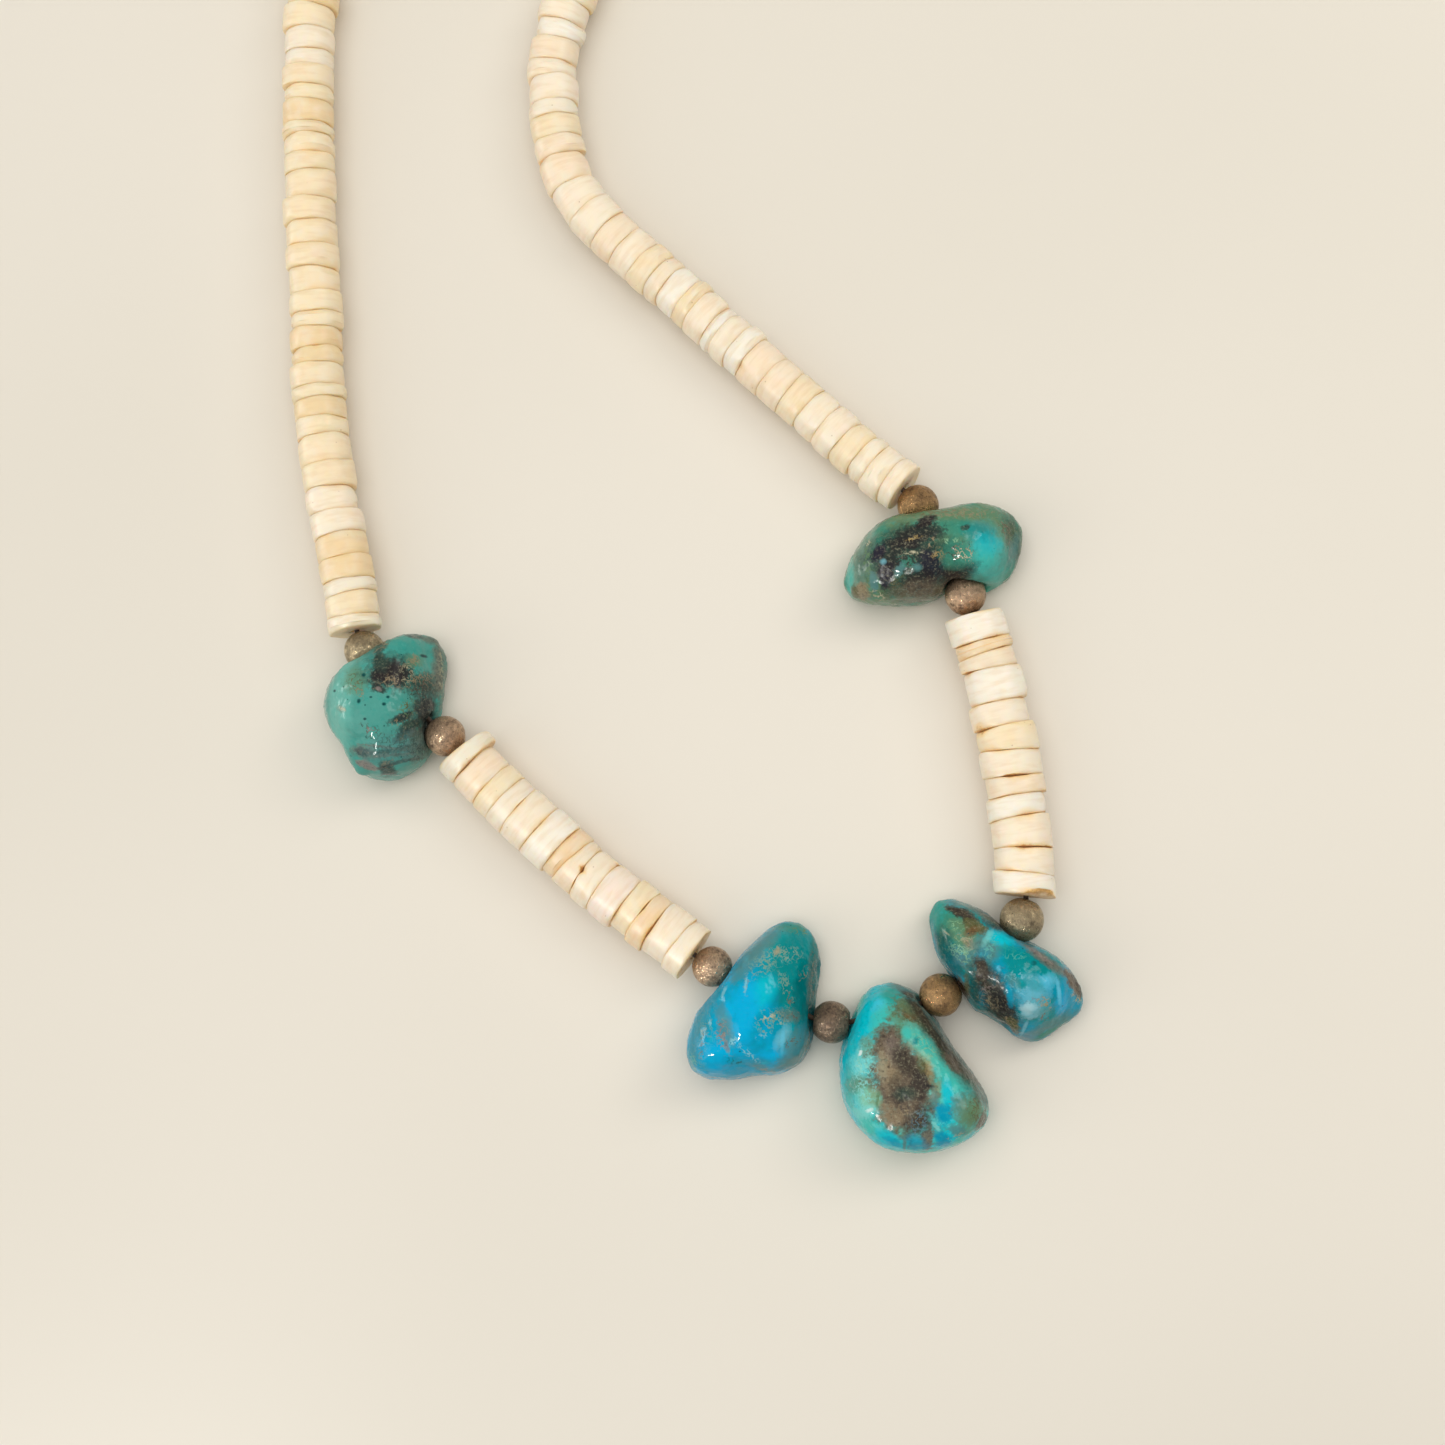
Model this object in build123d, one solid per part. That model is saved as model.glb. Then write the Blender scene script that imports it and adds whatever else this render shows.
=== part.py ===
from build123d import *
from collections import namedtuple
import math
import os
import random

# A heishi bead necklace, laid out as a loop on a flat surface. Drilled turquoise nuggets sit at
# the front with a tarnished silver bead at both sides of each, flat shell discs fill the rest,
# and one thread runs through everything to a barrel clasp at the back.
# X is to the right, Y runs from the front nuggets to the clasp and Z is up from the surface.

# Thread and holes, in millimetres
thread_diameter = 0.6
string_gap = 0.12
shell_bore_diameter = 1.6
stone_bore_diameter = 1.6
silver_bore_diameter = 1.8
front_thread_height = 4.2
bend_reach = 3.5
strand_bend_share = 0.45

# Silver beads
silver_diameter = 5.0

# Shell discs
short_disc_diameter = 7.3
short_disc_thickness = 2.5
short_disc_gap = 0.22
strand_left_diameter = 6.9
strand_right_diameter = 6.5
strand_back_diameter = 6.2
strand_disc_thickness = 2.4
disc_rim_chamfer = 0.25

# Barrel clasp
clasp_length = 10.0
clasp_diameter = 5.2
clasp_tip_diameter = 2.8
clasp_cone_length = 2.2
clasp_bore_diameter = 1.0
clasp_bore_depth = 3.0
clasp_thread_height = 2.9
thread_end_play = 0.4

# Stones. The bore runs level along bore_way, bore_offset to the left of the stone's middle, and
# the thread turns at the two seats, so far out from the middle of the bore. The outline gives the
# distance from the middle to the edge every 22.5 degrees from +X. All of these are shares of
# reach. A facet is a ground plane: the way it looks, its tilt from level and its distance. A dent,
# or with a negative depth a swelling, has a direction, two half widths in degrees and a depth.
# Heights in facets and dents are shares of the height up or down from the widest level.
Facet = namedtuple("Facet", "toward tilt distance")
Dent = namedtuple("Dent", "toward up wide tall depth")
Stone = namedtuple("Stone", "name reach height waist bore_way bore_offset seats outline facets "
                            "dents")

stone_edge_sharpness = 5.0
stone_spokes = 40
stone_rings = 20
seat_ease_wide = 1.1
seat_ease_tall = 0.7

CENTER_STONE = Stone(
    name="turquoise_center", reach=11.1, height=10.6, waist=0.42,
    bore_way=15.5, bore_offset=0.678, seats=(0.706, 0.505),
    outline=(0.62, 0.50, 0.51, 0.62, 0.86, 1.00, 0.90, 0.82,
             0.78, 0.79, 0.80, 0.82, 0.82, 0.84, 0.90, 0.87),
    facets=(Facet(230, 14, 0.88), Facet(38, 52, 0.58), Facet(112, 38, 0.86),
            Facet(305, 34, 0.92), Facet(178, 42, 0.84)),
    dents=(Dent(200, 48, 20, 20, 0.05), Dent(255, 70, 24, 24, 0.05),
           Dent(322, 40, 18, 18, -0.05)))

LEFT_STONE_1 = Stone(
    name="turquoise_left_1", reach=11.3, height=10.4, waist=0.44,
    bore_way=154.2, bore_offset=-0.198, seats=(0.783, 0.604),
    outline=(0.63, 0.70, 0.95, 1.03, 0.72, 0.53, 0.46, 0.48,
             0.58, 0.75, 0.90, 0.77, 0.66, 0.69, 0.70, 0.66),
    facets=(Facet(150, 44, 0.66), Facet(332, 20, 0.84), Facet(60, 40, 0.86),
            Facet(285, 42, 0.74), Facet(15, 58, 0.66)),
    dents=(Dent(265, 30, 16, 16, 0.07), Dent(0, 52, 20, 20, 0.06),
           Dent(318, 42, 20, 20, -0.06)))

RIGHT_STONE_1 = Stone(
    name="turquoise_right_1", reach=11.1, height=10.0, waist=0.44,
    bore_way=41.6, bore_offset=0.244, seats=(0.676, 0.524),
    outline=(0.70, 0.52, 0.45, 0.43, 0.47, 0.73, 1.05, 0.82,
             0.61, 0.51, 0.51, 0.50, 0.59, 0.79, 0.79, 0.89),
    facets=(Facet(130, 28, 0.66), Facet(232, 56, 0.50), Facet(60, 40, 0.58),
            Facet(300, 52, 0.70), Facet(352, 50, 0.74)),
    dents=(Dent(115, 50, 22, 22, 0.10), Dent(328, 48, 18, 18, -0.08),
           Dent(255, 35, 18, 18, 0.08)))

LEFT_STONE_2 = Stone(
    name="turquoise_left_2", reach=10.0, height=11.0, waist=0.42,
    bore_way=136.6, bore_offset=-0.243, seats=(0.792, 0.673),
    outline=(0.66, 0.75, 0.98, 0.96, 0.84, 0.77, 0.76, 0.77,
             0.78, 0.75, 0.74, 0.86, 0.90, 0.86, 0.78, 0.66),
    facets=(Facet(60, 10, 0.90), Facet(178, 46, 0.70), Facet(262, 34, 0.84),
            Facet(4, 58, 0.60), Facet(118, 44, 0.80)),
    dents=(Dent(222, 5, 12, 24, 0.06), Dent(75, 72, 22, 22, 0.05),
           Dent(238, 42, 14, 14, 0.05)))

RIGHT_STONE_2 = Stone(
    name="turquoise_right_2", reach=11.3, height=10.6, waist=0.43,
    bore_way=116.5, bore_offset=-0.106, seats=(0.527, 0.553),
    outline=(0.90, 0.97, 0.76, 0.55, 0.48, 0.50, 0.60, 0.73,
             0.86, 1.02, 0.74, 0.56, 0.51, 0.54, 0.90, 0.88),
    facets=(Facet(95, 36, 0.60), Facet(268, 30, 0.66), Facet(335, 42, 0.78),
            Facet(168, 40, 0.80), Facet(20, 50, 0.80)),
    dents=(Dent(304, 5, 19, 70, 0.42), Dent(50, 30, 18, 18, 0.05)))

# Silver beads as shares of silver_diameter. A length under the diameter makes a short barrel.
Silver = namedtuple("Silver", "name diameter length")

LEFT_SILVER = (
    Silver("silver_bead_left_1", 1.00, 0.84),
    Silver("silver_bead_left_2", 0.97, 0.97),
    Silver("silver_bead_left_3", 0.99, 0.99),
    Silver("silver_bead_left_4", 1.00, 1.00))
RIGHT_SILVER = (
    Silver("silver_bead_right_1", 1.02, 1.02),
    Silver("silver_bead_right_2", 1.05, 1.05),
    Silver("silver_bead_right_3", 0.99, 0.99),
    Silver("silver_bead_right_4", 1.00, 1.00))

# Shell discs between two stones, from the front outwards: shares of the short discs' thickness
# and diameter, the lean in degrees and the sideways shift as a share of the diameter.
Disc = namedtuple("Disc", "thickness diameter lean shift")

LEFT_DISCS = (
    Disc(0.89, 0.99, 0.0, 0.00), Disc(1.19, 0.98, 0.6, 0.01), Disc(0.77, 0.97, 0.0, -0.01),
    Disc(0.88, 0.98, -0.6, 0.01), Disc(1.31, 0.99, 0.0, 0.00), Disc(1.00, 0.97, 0.8, -0.01),
    Disc(0.73, 0.96, 0.0, 0.02), Disc(0.69, 0.97, -0.8, 0.00), Disc(1.31, 0.98, 0.0, -0.02),
    Disc(1.27, 0.97, 0.8, 0.01), Disc(0.81, 0.95, 0.0, -0.01), Disc(0.85, 0.95, 0.8, 0.02),
    Disc(1.23, 0.97, 0.0, 0.00), Disc(0.83, 0.98, -1.0, 0.02))
RIGHT_DISCS = (
    Disc(1.00, 1.01, 0.8, 0.00), Disc(1.10, 0.99, -0.8, 0.01), Disc(1.35, 1.00, 0.8, -0.02),
    Disc(0.94, 0.98, -0.6, 0.02), Disc(0.83, 0.97, 0.6, -0.01), Disc(1.14, 0.99, -1.2, 0.01),
    Disc(1.10, 0.98, 0.8, -0.02), Disc(1.10, 0.97, 0.0, 0.01), Disc(1.52, 0.98, -1.2, -0.01),
    Disc(0.66, 0.96, 0.8, 0.02), Disc(0.57, 0.95, 0.8, -0.01), Disc(1.29, 0.98, 0.0, 0.01))

# Shares of the strand discs' thickness, strung over and over along both long strands
STRAND_RHYTHM = (0.72, 1.04, 0.72, 1.06, 1.18, 1.20, 1.14, 1.22, 1.38, 0.86, 0.92, 0.56, 1.16)
strand_diameter_play = 0.03
strand_shift_play = 0.02
strand_seed = 17
slide_rounds = 3
even_rounds = 5

# One side of the necklace, walking outwards from the centre stone. The short row of discs has a
# way for each equal part of it, and the corners of the long strand are measured in millimetres across
# from the last silver bead.
Side = namedtuple("Side", "name silver stones discs section_ways strand_diameter strand_route")

LEFT = Side("left", LEFT_SILVER, (LEFT_STONE_1, LEFT_STONE_2), LEFT_DISCS,
            (144.8, 140.0, 134.7), strand_left_diameter,
            ((-6.1, 28.4), (-8.9, 71.4), (-8.2, 89.0), (-9.6, 103.0), (-8.8, 114.8),
             (-5.2, 123.6), (1.4, 128.8)))
RIGHT = Side("right", RIGHT_SILVER, (RIGHT_STONE_1, RIGHT_STONE_2), RIGHT_DISCS,
             (93.9, 100.4, 107.0), strand_right_diameter,
             ((-6.2, 5.2), (-42.0, 37.8), (-45.3, 47.9), (-45.3, 57.4), (-40.2, 73.1),
              (-35.2, 87.6), (-36.4, 99.6), (-41.4, 108.2), (-48.2, 112.6)))

# What is on the thread: a place, an axis, half a length, a radius and whether it is a ball
Piece = namedtuple("Piece", "center axis half radius ball")


def way(degrees):
    """Level unit vector along a heading."""
    return Vector(math.cos(math.radians(degrees)), math.sin(math.radians(degrees)), 0)


def sphere_way(toward, up):
    """Unit vector along a heading, raised by an angle."""
    level = math.cos(math.radians(up))
    flat = way(toward) * level
    return Vector(flat.X, flat.Y, math.sin(math.radians(up)))


# Stones

def outline_share(outline, toward):
    """Share of reach along a heading, on a smooth closed curve through the chosen shares."""
    place = toward % 360 / 360 * len(outline)
    step = int(place)
    t = place - step
    a, b, c, d = (outline[(step + k) % len(outline)] for k in (-1, 0, 1, 2))
    return b + t / 2 * (c - a + t * (2 * a - 5 * b + 4 * c - d + t * (3 * (b - c) + d - a)))


def rise(stone, up):
    """Height of the stone above its widest level, or depth below it."""
    waist_height = stone.waist * stone.height
    return stone.height - waist_height if up > 0 else waist_height


def stone_reach(stone, dents, toward, up):
    """Share of reach from the middle of the widest level to the surface in one direction."""
    look = sphere_way(toward, up)
    walls = [math.cos(math.radians(up)) / outline_share(stone.outline, toward), abs(look.Z)]
    for facet in stone.facets:
        normal = sphere_way(facet.toward, 90 - facet.tilt)
        walls.append(max(0.0, look.dot(normal)) / facet.distance)
    share = sum(wall ** stone_edge_sharpness for wall in walls) ** (-1 / stone_edge_sharpness)
    for dent in dents:
        turn = (toward - dent.toward + 180) % 360 - 180
        across = turn * math.cos(math.radians(up)) / dent.wide
        above = (up - dent.up) / dent.tall
        share *= 1 - dent.depth * math.exp(-across ** 2 - above ** 2)
    return share


def seat_dent(stone, middle, bead):
    """Hollow in the stone's side that takes the silver bead at one mouth of the bore."""
    to_bead = bead.center - middle - Vector(0, 0, stone.waist * stone.height)
    height_unit = rise(stone, to_bead.Z)
    scaled = Vector(to_bead.X / stone.reach, to_bead.Y / stone.reach, to_bead.Z / height_unit)
    toward = math.degrees(math.atan2(scaled.Y, scaled.X))
    up = math.degrees(math.asin(scaled.Z / scaled.length))
    size = bead.radius / to_bead.length
    seat = scaled.length * (1 - (bead.radius + string_gap) / to_bead.length)
    depth = max(0.0, 1 - seat / stone_reach(stone, stone.dents, toward, up))
    wide = seat_ease_wide * math.degrees(math.asin(size))
    tall = seat_ease_tall * math.degrees(math.atan(size * stone.reach / height_unit))
    return Dent(toward, up, wide, tall, depth)


def stone_point(stone, dents, toward, up):
    """Point of the surface in one direction from the middle of the widest level."""
    look = sphere_way(toward, up)
    share = stone_reach(stone, dents, toward, up)
    across = stone.reach * share
    return Vector(across * look.X, across * look.Y, rise(stone, up) * share * look.Z)


def stone_triangles(stone, middle, beads):
    """Corners of the triangles that close the stone, from its foot to its crown."""
    dents = [*stone.dents, *(seat_dent(stone, middle, bead) for bead in beads)]
    rings = []
    for ring in range(stone_rings + 1):
        up = -90 + 180 * ring / stone_rings
        rings.append([stone_point(stone, dents, 360 * k / stone_spokes, up)
                      for k in range(stone_spokes)])
    top = max(point.Z for ring in rings for point in ring)
    stretch = rise(stone, 1) / top
    waist = Vector(0, 0, stone.waist * stone.height)
    for k, ring in enumerate(rings):
        scale = stretch if k > stone_rings / 2 else 1
        rings[k] = [middle + waist + Vector(p.X, p.Y, p.Z * scale) for p in ring]
    foot = rings.pop(0)[0]
    crown = rings.pop()[0]
    triangles = []
    for k in range(stone_spokes):
        after = (k + 1) % stone_spokes
        triangles.append((foot, rings[0][after], rings[0][k]))
        triangles.append((crown, rings[-1][k], rings[-1][after]))
        for low, high in zip(rings, rings[1:]):
            triangles.append((low[k], low[after], high[after]))
            triangles.append((low[k], high[after], high[k]))
    return triangles


def stone_solid(stone, middle, beads):
    """Drilled stone with clear room for the silver bead at each mouth of its bore."""
    triangles = stone_triangles(stone, middle, beads)
    faces = [Face(Wire.make_polygon(corners, close=True)) for corners in triangles]
    solid = Solid(Shell(faces))
    sideways = way(stone.bore_way + 90) * (stone.bore_offset * stone.reach)
    on_bore = middle + sideways + Vector(0, 0, front_thread_height)
    bore = Cylinder(stone_bore_diameter / 2, 4 * stone.reach)
    solid -= Plane(origin=on_bore, z_dir=way(stone.bore_way)) * bore
    for bead in beads:
        solid -= Pos(*bead.center) * Sphere(bead.radius + string_gap)
    return solid


# The thread's route and the pieces along it

class Route:
    """The thread's centre line: straight runs joined by tangent arcs."""

    def __init__(self, corners, reaches):
        self.corners = corners
        self.radii = []
        self.marks = []
        length = 0.0
        for k in range(1, len(corners) - 1):
            inward = corners[k - 1] - corners[k]
            onward = corners[k + 1] - corners[k]
            turn = math.radians(180 - inward.get_angle(onward))
            radius = reaches[k - 1] / math.tan(turn / 2)
            before = reaches[k - 2] if k > 1 else 0.0
            length += inward.length - before - reaches[k - 1] + radius * turn / 2
            self.radii.append(radius)
            self.marks.append(length)
            length += radius * turn / 2
        self.wire = FilletPolyline(*corners, radius=self.radii)
        self.edges = self.wire.edges()
        self.starts = []
        self.length = 0.0
        for edge in self.edges:
            self.starts.append(self.length)
            self.length += edge.length

    def at(self, distance):
        """Point and direction of the thread at a distance from its start."""
        k = max(i for i, start in enumerate(self.starts) if start <= distance or i == 0)
        share = (distance - self.starts[k]) / self.edges[k].length
        return self.edges[k] @ share, self.edges[k] % share


def clearance(first, second):
    """Clear space between two neighbours on the thread, of which one at least is flat."""
    between = second.center - first.center
    if first.ball:
        return between.dot(second.axis) - second.half - first.radius
    if second.ball:
        return between.dot(first.axis) - first.half - second.radius
    lean = math.radians(first.axis.get_angle(second.axis))
    reach = second.half * math.cos(lean) + second.radius * math.sin(lean)
    return between.dot(first.axis) - first.half - reach


def piece_at(route, distance, onwards, disc):
    """A disc on the thread. It stands on the surface unless the thread lifts it."""
    point, along = route.at(distance)
    sideways = Vector(-along.Y, along.X, 0).normalized() * (disc.shift * disc.diameter)
    height = max(point.Z, disc.diameter / 2)
    center = Vector(point.X + sideways.X, point.Y + sideways.Y, height)
    axis = (along * onwards).rotate(Axis.Z, disc.lean)
    return Piece(center, axis, disc.thickness / 2, disc.diameter / 2, False)


def string_discs(route, start, onwards, first, discs, gap):
    """Slide discs up to each other along the thread, starting at the first piece."""
    placed = []
    neighbour = first
    distance = start
    for disc in discs:
        distance += onwards * (neighbour.half + gap + disc.thickness / 2)
        for _ in range(slide_rounds):
            piece = piece_at(route, distance, onwards, disc)
            distance += onwards * (gap - clearance(neighbour, piece))
        neighbour = piece_at(route, distance, onwards, disc)
        placed.append(neighbour)
    return placed


def string_evenly(route, start, onwards, first, last, discs):
    """Discs between two pieces, with one even gap between them."""
    gap = string_gap
    for _ in range(even_rounds):
        placed = string_discs(route, start, onwards, first, discs, gap)
        gap += (clearance(placed[-1], last) - gap) / (len(discs) + 1)
    return string_discs(route, start, onwards, first, discs, gap), gap


# Solids

def disc_solid(piece):
    """Drilled disc with a worn rim."""
    disc = Cylinder(piece.radius, 2 * piece.half)
    disc = chamfer(disc.edges().filter_by(GeomType.CIRCLE), disc_rim_chamfer)
    disc -= Cylinder(shell_bore_diameter / 2, 4 * piece.half)
    return Plane(origin=piece.center, z_dir=piece.axis) * disc


def silver_solid(piece):
    """Drilled ball, cut flat at both ends where it is a short barrel."""
    bead = Sphere(piece.radius)
    if piece.half < piece.radius:
        bead &= Cylinder(2 * piece.radius, 2 * piece.half)
    bead -= Cylinder(silver_bore_diameter / 2, 4 * piece.radius)
    return Plane(origin=piece.center, z_dir=piece.axis) * bead


def clasp_solid(center, axis):
    """Plain barrel clasp: a tube with a cone at each end and a blind hole for the thread."""
    half = clasp_length / 2
    barrel_half = half - clasp_cone_length
    profile = Polyline(
        (0, -half), (clasp_tip_diameter / 2, -half), (clasp_diameter / 2, -barrel_half),
        (clasp_diameter / 2, barrel_half), (clasp_tip_diameter / 2, half), (0, half), close=True)
    clasp = revolve(Plane.XZ * make_face(profile), Axis.Z)
    for end in (-1, 1):
        place = Pos(0, 0, end * (half - clasp_bore_depth / 2))
        clasp -= place * Cylinder(clasp_bore_diameter / 2, clasp_bore_depth)
    return Plane(origin=center, z_dir=axis) * clasp


# Walk outwards from the centre stone along both sides

def section_length(side):
    """Length of thread between the two silver beads at the ends of a short row of discs."""
    discs = sum(disc.thickness for disc in side.discs) * short_disc_thickness
    gaps = (len(side.discs) + 1) * short_disc_gap
    silver = (side.silver[1].diameter + side.silver[2].diameter) * silver_diameter / 2
    return discs + gaps + silver


def walk(side):
    """Corners of the thread at the front and in the strand, and where the stones' middles are."""
    left_seat, right_seat = CENTER_STONE.seats
    seat = right_seat if side is RIGHT else -left_seat
    lift = Vector(0, 0, front_thread_height)
    place = way(CENTER_STONE.bore_way) * (seat * CENTER_STONE.reach)
    corners = [place + lift]
    middles = {}
    for stone in side.stones:
        back, ahead = stone.seats
        along = way(stone.bore_way)
        foot = place + along * (back * stone.reach)
        sideways = way(stone.bore_way + 90) * (stone.bore_offset * stone.reach)
        middles[stone.name] = foot - sideways
        place = foot + along * (ahead * stone.reach)
        corners.append(place + lift)
        if stone is side.stones[0]:
            for section_way in side.section_ways:
                place += way(section_way) * (section_length(side) / len(side.section_ways))
                corners.append(place + Vector(0, 0, short_disc_diameter / 2))
            corners[-1] = place + lift
    strand = []
    front = side.strand_diameter / 2
    for k, (x, y) in enumerate(side.strand_route, start=1):
        level = front + (clasp_thread_height - front) * k / len(side.strand_route)
        strand.append(place + Vector(x, y, level))
    return corners, strand, middles


def row_discs(side):
    """Discs of the short row, in millimetres."""
    return [disc._replace(thickness=disc.thickness * short_disc_thickness,
                          diameter=disc.diameter * short_disc_diameter) for disc in side.discs]


def strand_discs(side, length):
    """Discs for a length of long strand, in millimetres, getting smaller towards the clasp."""
    play = random.Random(strand_seed + len(side.name))
    discs = []
    used = 0.0
    while used < length:
        thickness = STRAND_RHYTHM[len(discs) % len(STRAND_RHYTHM)] * strand_disc_thickness
        nominal = side.strand_diameter + (strand_back_diameter - side.strand_diameter) * used / length
        diameter = nominal * (1 - strand_diameter_play * play.random())
        discs.append(Disc(thickness, diameter, 0.0, strand_shift_play * play.uniform(-1, 1)))
        used += thickness + string_gap
    return discs[:-1]


# The thread runs from the clasp down the left strand, through the front and up the right strand
left_corners, left_strand, left_middles = walk(LEFT)
right_corners, right_strand, right_middles = walk(RIGHT)
clasp_center = (left_strand[-1] + right_strand[-1]) / 2
clasp_axis = (right_strand[-1] - left_strand[-1]).normalized()
thread_end = clasp_axis * (clasp_length / 2 - clasp_bore_depth + thread_end_play)
corners = [clasp_center - thread_end, *left_strand[::-1], *left_corners[::-1],
           *right_corners, *right_strand, clasp_center + thread_end]

silver_places = {}
for side, side_corners in ((LEFT, left_corners), (RIGHT, right_corners)):
    for bead, k in zip(side.silver, (0, 1, -2, -1)):
        silver_places[bead] = corners.index(side_corners[k])

reaches = []
for k in range(1, len(corners) - 1):
    shorter = min((corners[k] - corners[k - 1]).length, (corners[k + 1] - corners[k]).length)
    reaches.append(bend_reach if k in silver_places.values() else strand_bend_share * shorter)
for k, corner in ((0, corners[1]), (-1, corners[-2])):
    reaches[k] = min(reaches[k], (corner - clasp_center).length - clasp_length / 2)
route = Route(corners, reaches)

# Silver beads sit at the middle of their bends
silver_pieces = {}
silver_marks = {}
for bead, k in silver_places.items():
    silver_marks[bead] = route.marks[k - 1]
    point, along = route.at(silver_marks[bead])
    silver_pieces[bead] = Piece(point, along, bead.length * silver_diameter / 2,
                                bead.diameter * silver_diameter / 2, True)

# Stones, with the silver beads at their bores
sideways = way(CENTER_STONE.bore_way + 90) * (CENTER_STONE.bore_offset * CENTER_STONE.reach)
stone_places = [(CENTER_STONE, -sideways, (LEFT.silver[0], RIGHT.silver[0]))]
for side, middles in ((LEFT, left_middles), (RIGHT, right_middles)):
    for stone, beads in zip(side.stones, (side.silver[:2], side.silver[2:])):
        stone_places.append((stone, middles[stone.name], beads))
parts = {}
for stone, middle, beads in stone_places:
    parts[stone.name] = stone_solid(stone, middle, [silver_pieces[bead] for bead in beads])
for bead, piece in silver_pieces.items():
    parts[bead.name] = silver_solid(piece)

# Discs of the short rows and the long strands
clasp_piece = Piece(clasp_center, clasp_axis, clasp_length / 2, clasp_tip_diameter / 2, False)
for side, onwards in ((LEFT, -1), (RIGHT, 1)):
    silver = [silver_pieces[bead] for bead in side.silver]
    marks = [silver_marks[bead] for bead in side.silver]
    placed, gap = string_evenly(route, marks[1], onwards, silver[1], silver[2], row_discs(side))
    print(side.name, "short row of", len(placed), "discs, gap", round(gap, 3))
    for k, piece in enumerate(placed, start=1):
        parts[f"shell_disc_{side.name}_{k:02d}"] = disc_solid(piece)
    length = marks[3] if side is LEFT else route.length - marks[3]
    discs = strand_discs(side, length - clasp_bore_depth)
    clasp_end = clasp_piece._replace(axis=clasp_axis * -onwards)
    placed = string_discs(route, marks[3], onwards, silver[3], discs, string_gap)
    fitting = [disc for disc, piece in zip(discs, placed) if clearance(piece, clasp_end) > string_gap]
    placed, gap = string_evenly(route, marks[3], onwards, silver[3], clasp_end, fitting)
    print(side.name, "strand of", len(placed), "discs, gap", round(gap, 3))
    parts[f"shell_strand_{side.name}"] = Compound([disc_solid(piece) for piece in placed])

parts["barrel_clasp"] = clasp_solid(clasp_center, clasp_axis)
start_plane = Plane(origin=route.wire @ 0, z_dir=route.wire % 0)
parts["thread"] = sweep(start_plane * Circle(thread_diameter / 2), path=route.wire)
print("thread length", round(route.length, 1), "tightest bend", round(min(route.radii), 1))

# The origin is the middle of the whole necklace's box, on the surface
boxes = [part.bounding_box() for part in parts.values()]
low = Vector(min(box.min.X for box in boxes), min(box.min.Y for box in boxes),
             min(box.min.Z for box in boxes))
high = Vector(max(box.max.X for box in boxes), max(box.max.Y for box in boxes), low.Z)
to_origin = Pos(*(-(low + high) / 2))
print("layout to origin", [round(v, 3) for v in to_origin.position])

os.makedirs("parts", exist_ok=True)
for name, part in parts.items():
    export_step(to_origin * part, f"parts/{name}.step")
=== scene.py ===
# %% [markdown]
# A heishi necklace, dressed for its portrait
#
# Five drilled turquoise nuggets, eight tarnished silver beads and a long string of shell discs lie in
# a loop on a pale table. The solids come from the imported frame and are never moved. This lesson gives
# every piece the worn, ground and polished surface that the real one has, one kind of piece at a time.

# %% Load the frame
import math
import random
from collections import namedtuple

import bmesh
import bpy
import numpy as np
from mathutils import Matrix, Vector, noise
from mathutils.bvhtree import BVHTree


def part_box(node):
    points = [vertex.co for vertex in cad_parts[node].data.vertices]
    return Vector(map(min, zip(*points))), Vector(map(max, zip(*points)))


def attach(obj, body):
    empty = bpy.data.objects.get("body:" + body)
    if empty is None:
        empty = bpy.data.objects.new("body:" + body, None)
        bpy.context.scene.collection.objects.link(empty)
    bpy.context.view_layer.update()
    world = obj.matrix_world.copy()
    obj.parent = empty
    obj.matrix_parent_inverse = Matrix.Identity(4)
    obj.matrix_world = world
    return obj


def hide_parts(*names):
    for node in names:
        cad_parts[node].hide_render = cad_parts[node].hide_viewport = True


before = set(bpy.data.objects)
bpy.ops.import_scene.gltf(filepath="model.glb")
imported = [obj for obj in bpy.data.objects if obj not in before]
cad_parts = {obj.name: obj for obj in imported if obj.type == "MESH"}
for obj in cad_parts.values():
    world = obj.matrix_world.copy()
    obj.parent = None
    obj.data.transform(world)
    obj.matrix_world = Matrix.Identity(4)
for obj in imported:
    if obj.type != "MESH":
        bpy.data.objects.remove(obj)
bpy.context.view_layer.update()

MM = 0.001
print("nodes in the frame:", len(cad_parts))

# %% [markdown]
# The camera
#
# The photograph was taken by hand from about 27 centimetres above the table, leaning a little to the
# left and away. A camera that stands where the photographer's stood gives the same overlaps and the
# same slightly larger front. Its upright axis has no sideways part, so it is worked out from where it
# looks.

# %% Set the camera up
photo_side = 1445
focal_in_pixels = 2280
sensor_width = 36.0
camera_place = Vector((34.06, -70.05, 273.0))
camera_aim = Vector((6.71, -45.33, 0.0))

camera_back = (camera_place - camera_aim).normalized()
camera_up = camera_back.cross(Vector((1, 0, 0))).normalized()
camera_right = camera_up.cross(camera_back)


def add_camera():
    """Camera at the photographer's place, with the photograph's angle of view."""
    camera = bpy.data.objects.new("camera", bpy.data.cameras.new("camera"))
    bpy.context.scene.collection.objects.link(camera)
    turned = Matrix((camera_right, camera_up, camera_back)).transposed().to_4x4()
    camera.matrix_world = Matrix.Translation(camera_place * MM) @ turned
    camera.data.sensor_width = sensor_width
    camera.data.lens = focal_in_pixels / photo_side * sensor_width
    camera.data.clip_start = 0.01
    bpy.context.scene.camera = camera
    return camera


print("lens in millimetres:", round(add_camera().data.lens, 1))


def sight(px, py):
    """Direction from the camera through a pixel of the photograph."""
    across = (px - photo_side / 2) / focal_in_pixels
    down = (py - photo_side / 2) / focal_in_pixels
    return (camera_right * across - camera_up * down - camera_back).normalized()


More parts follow.
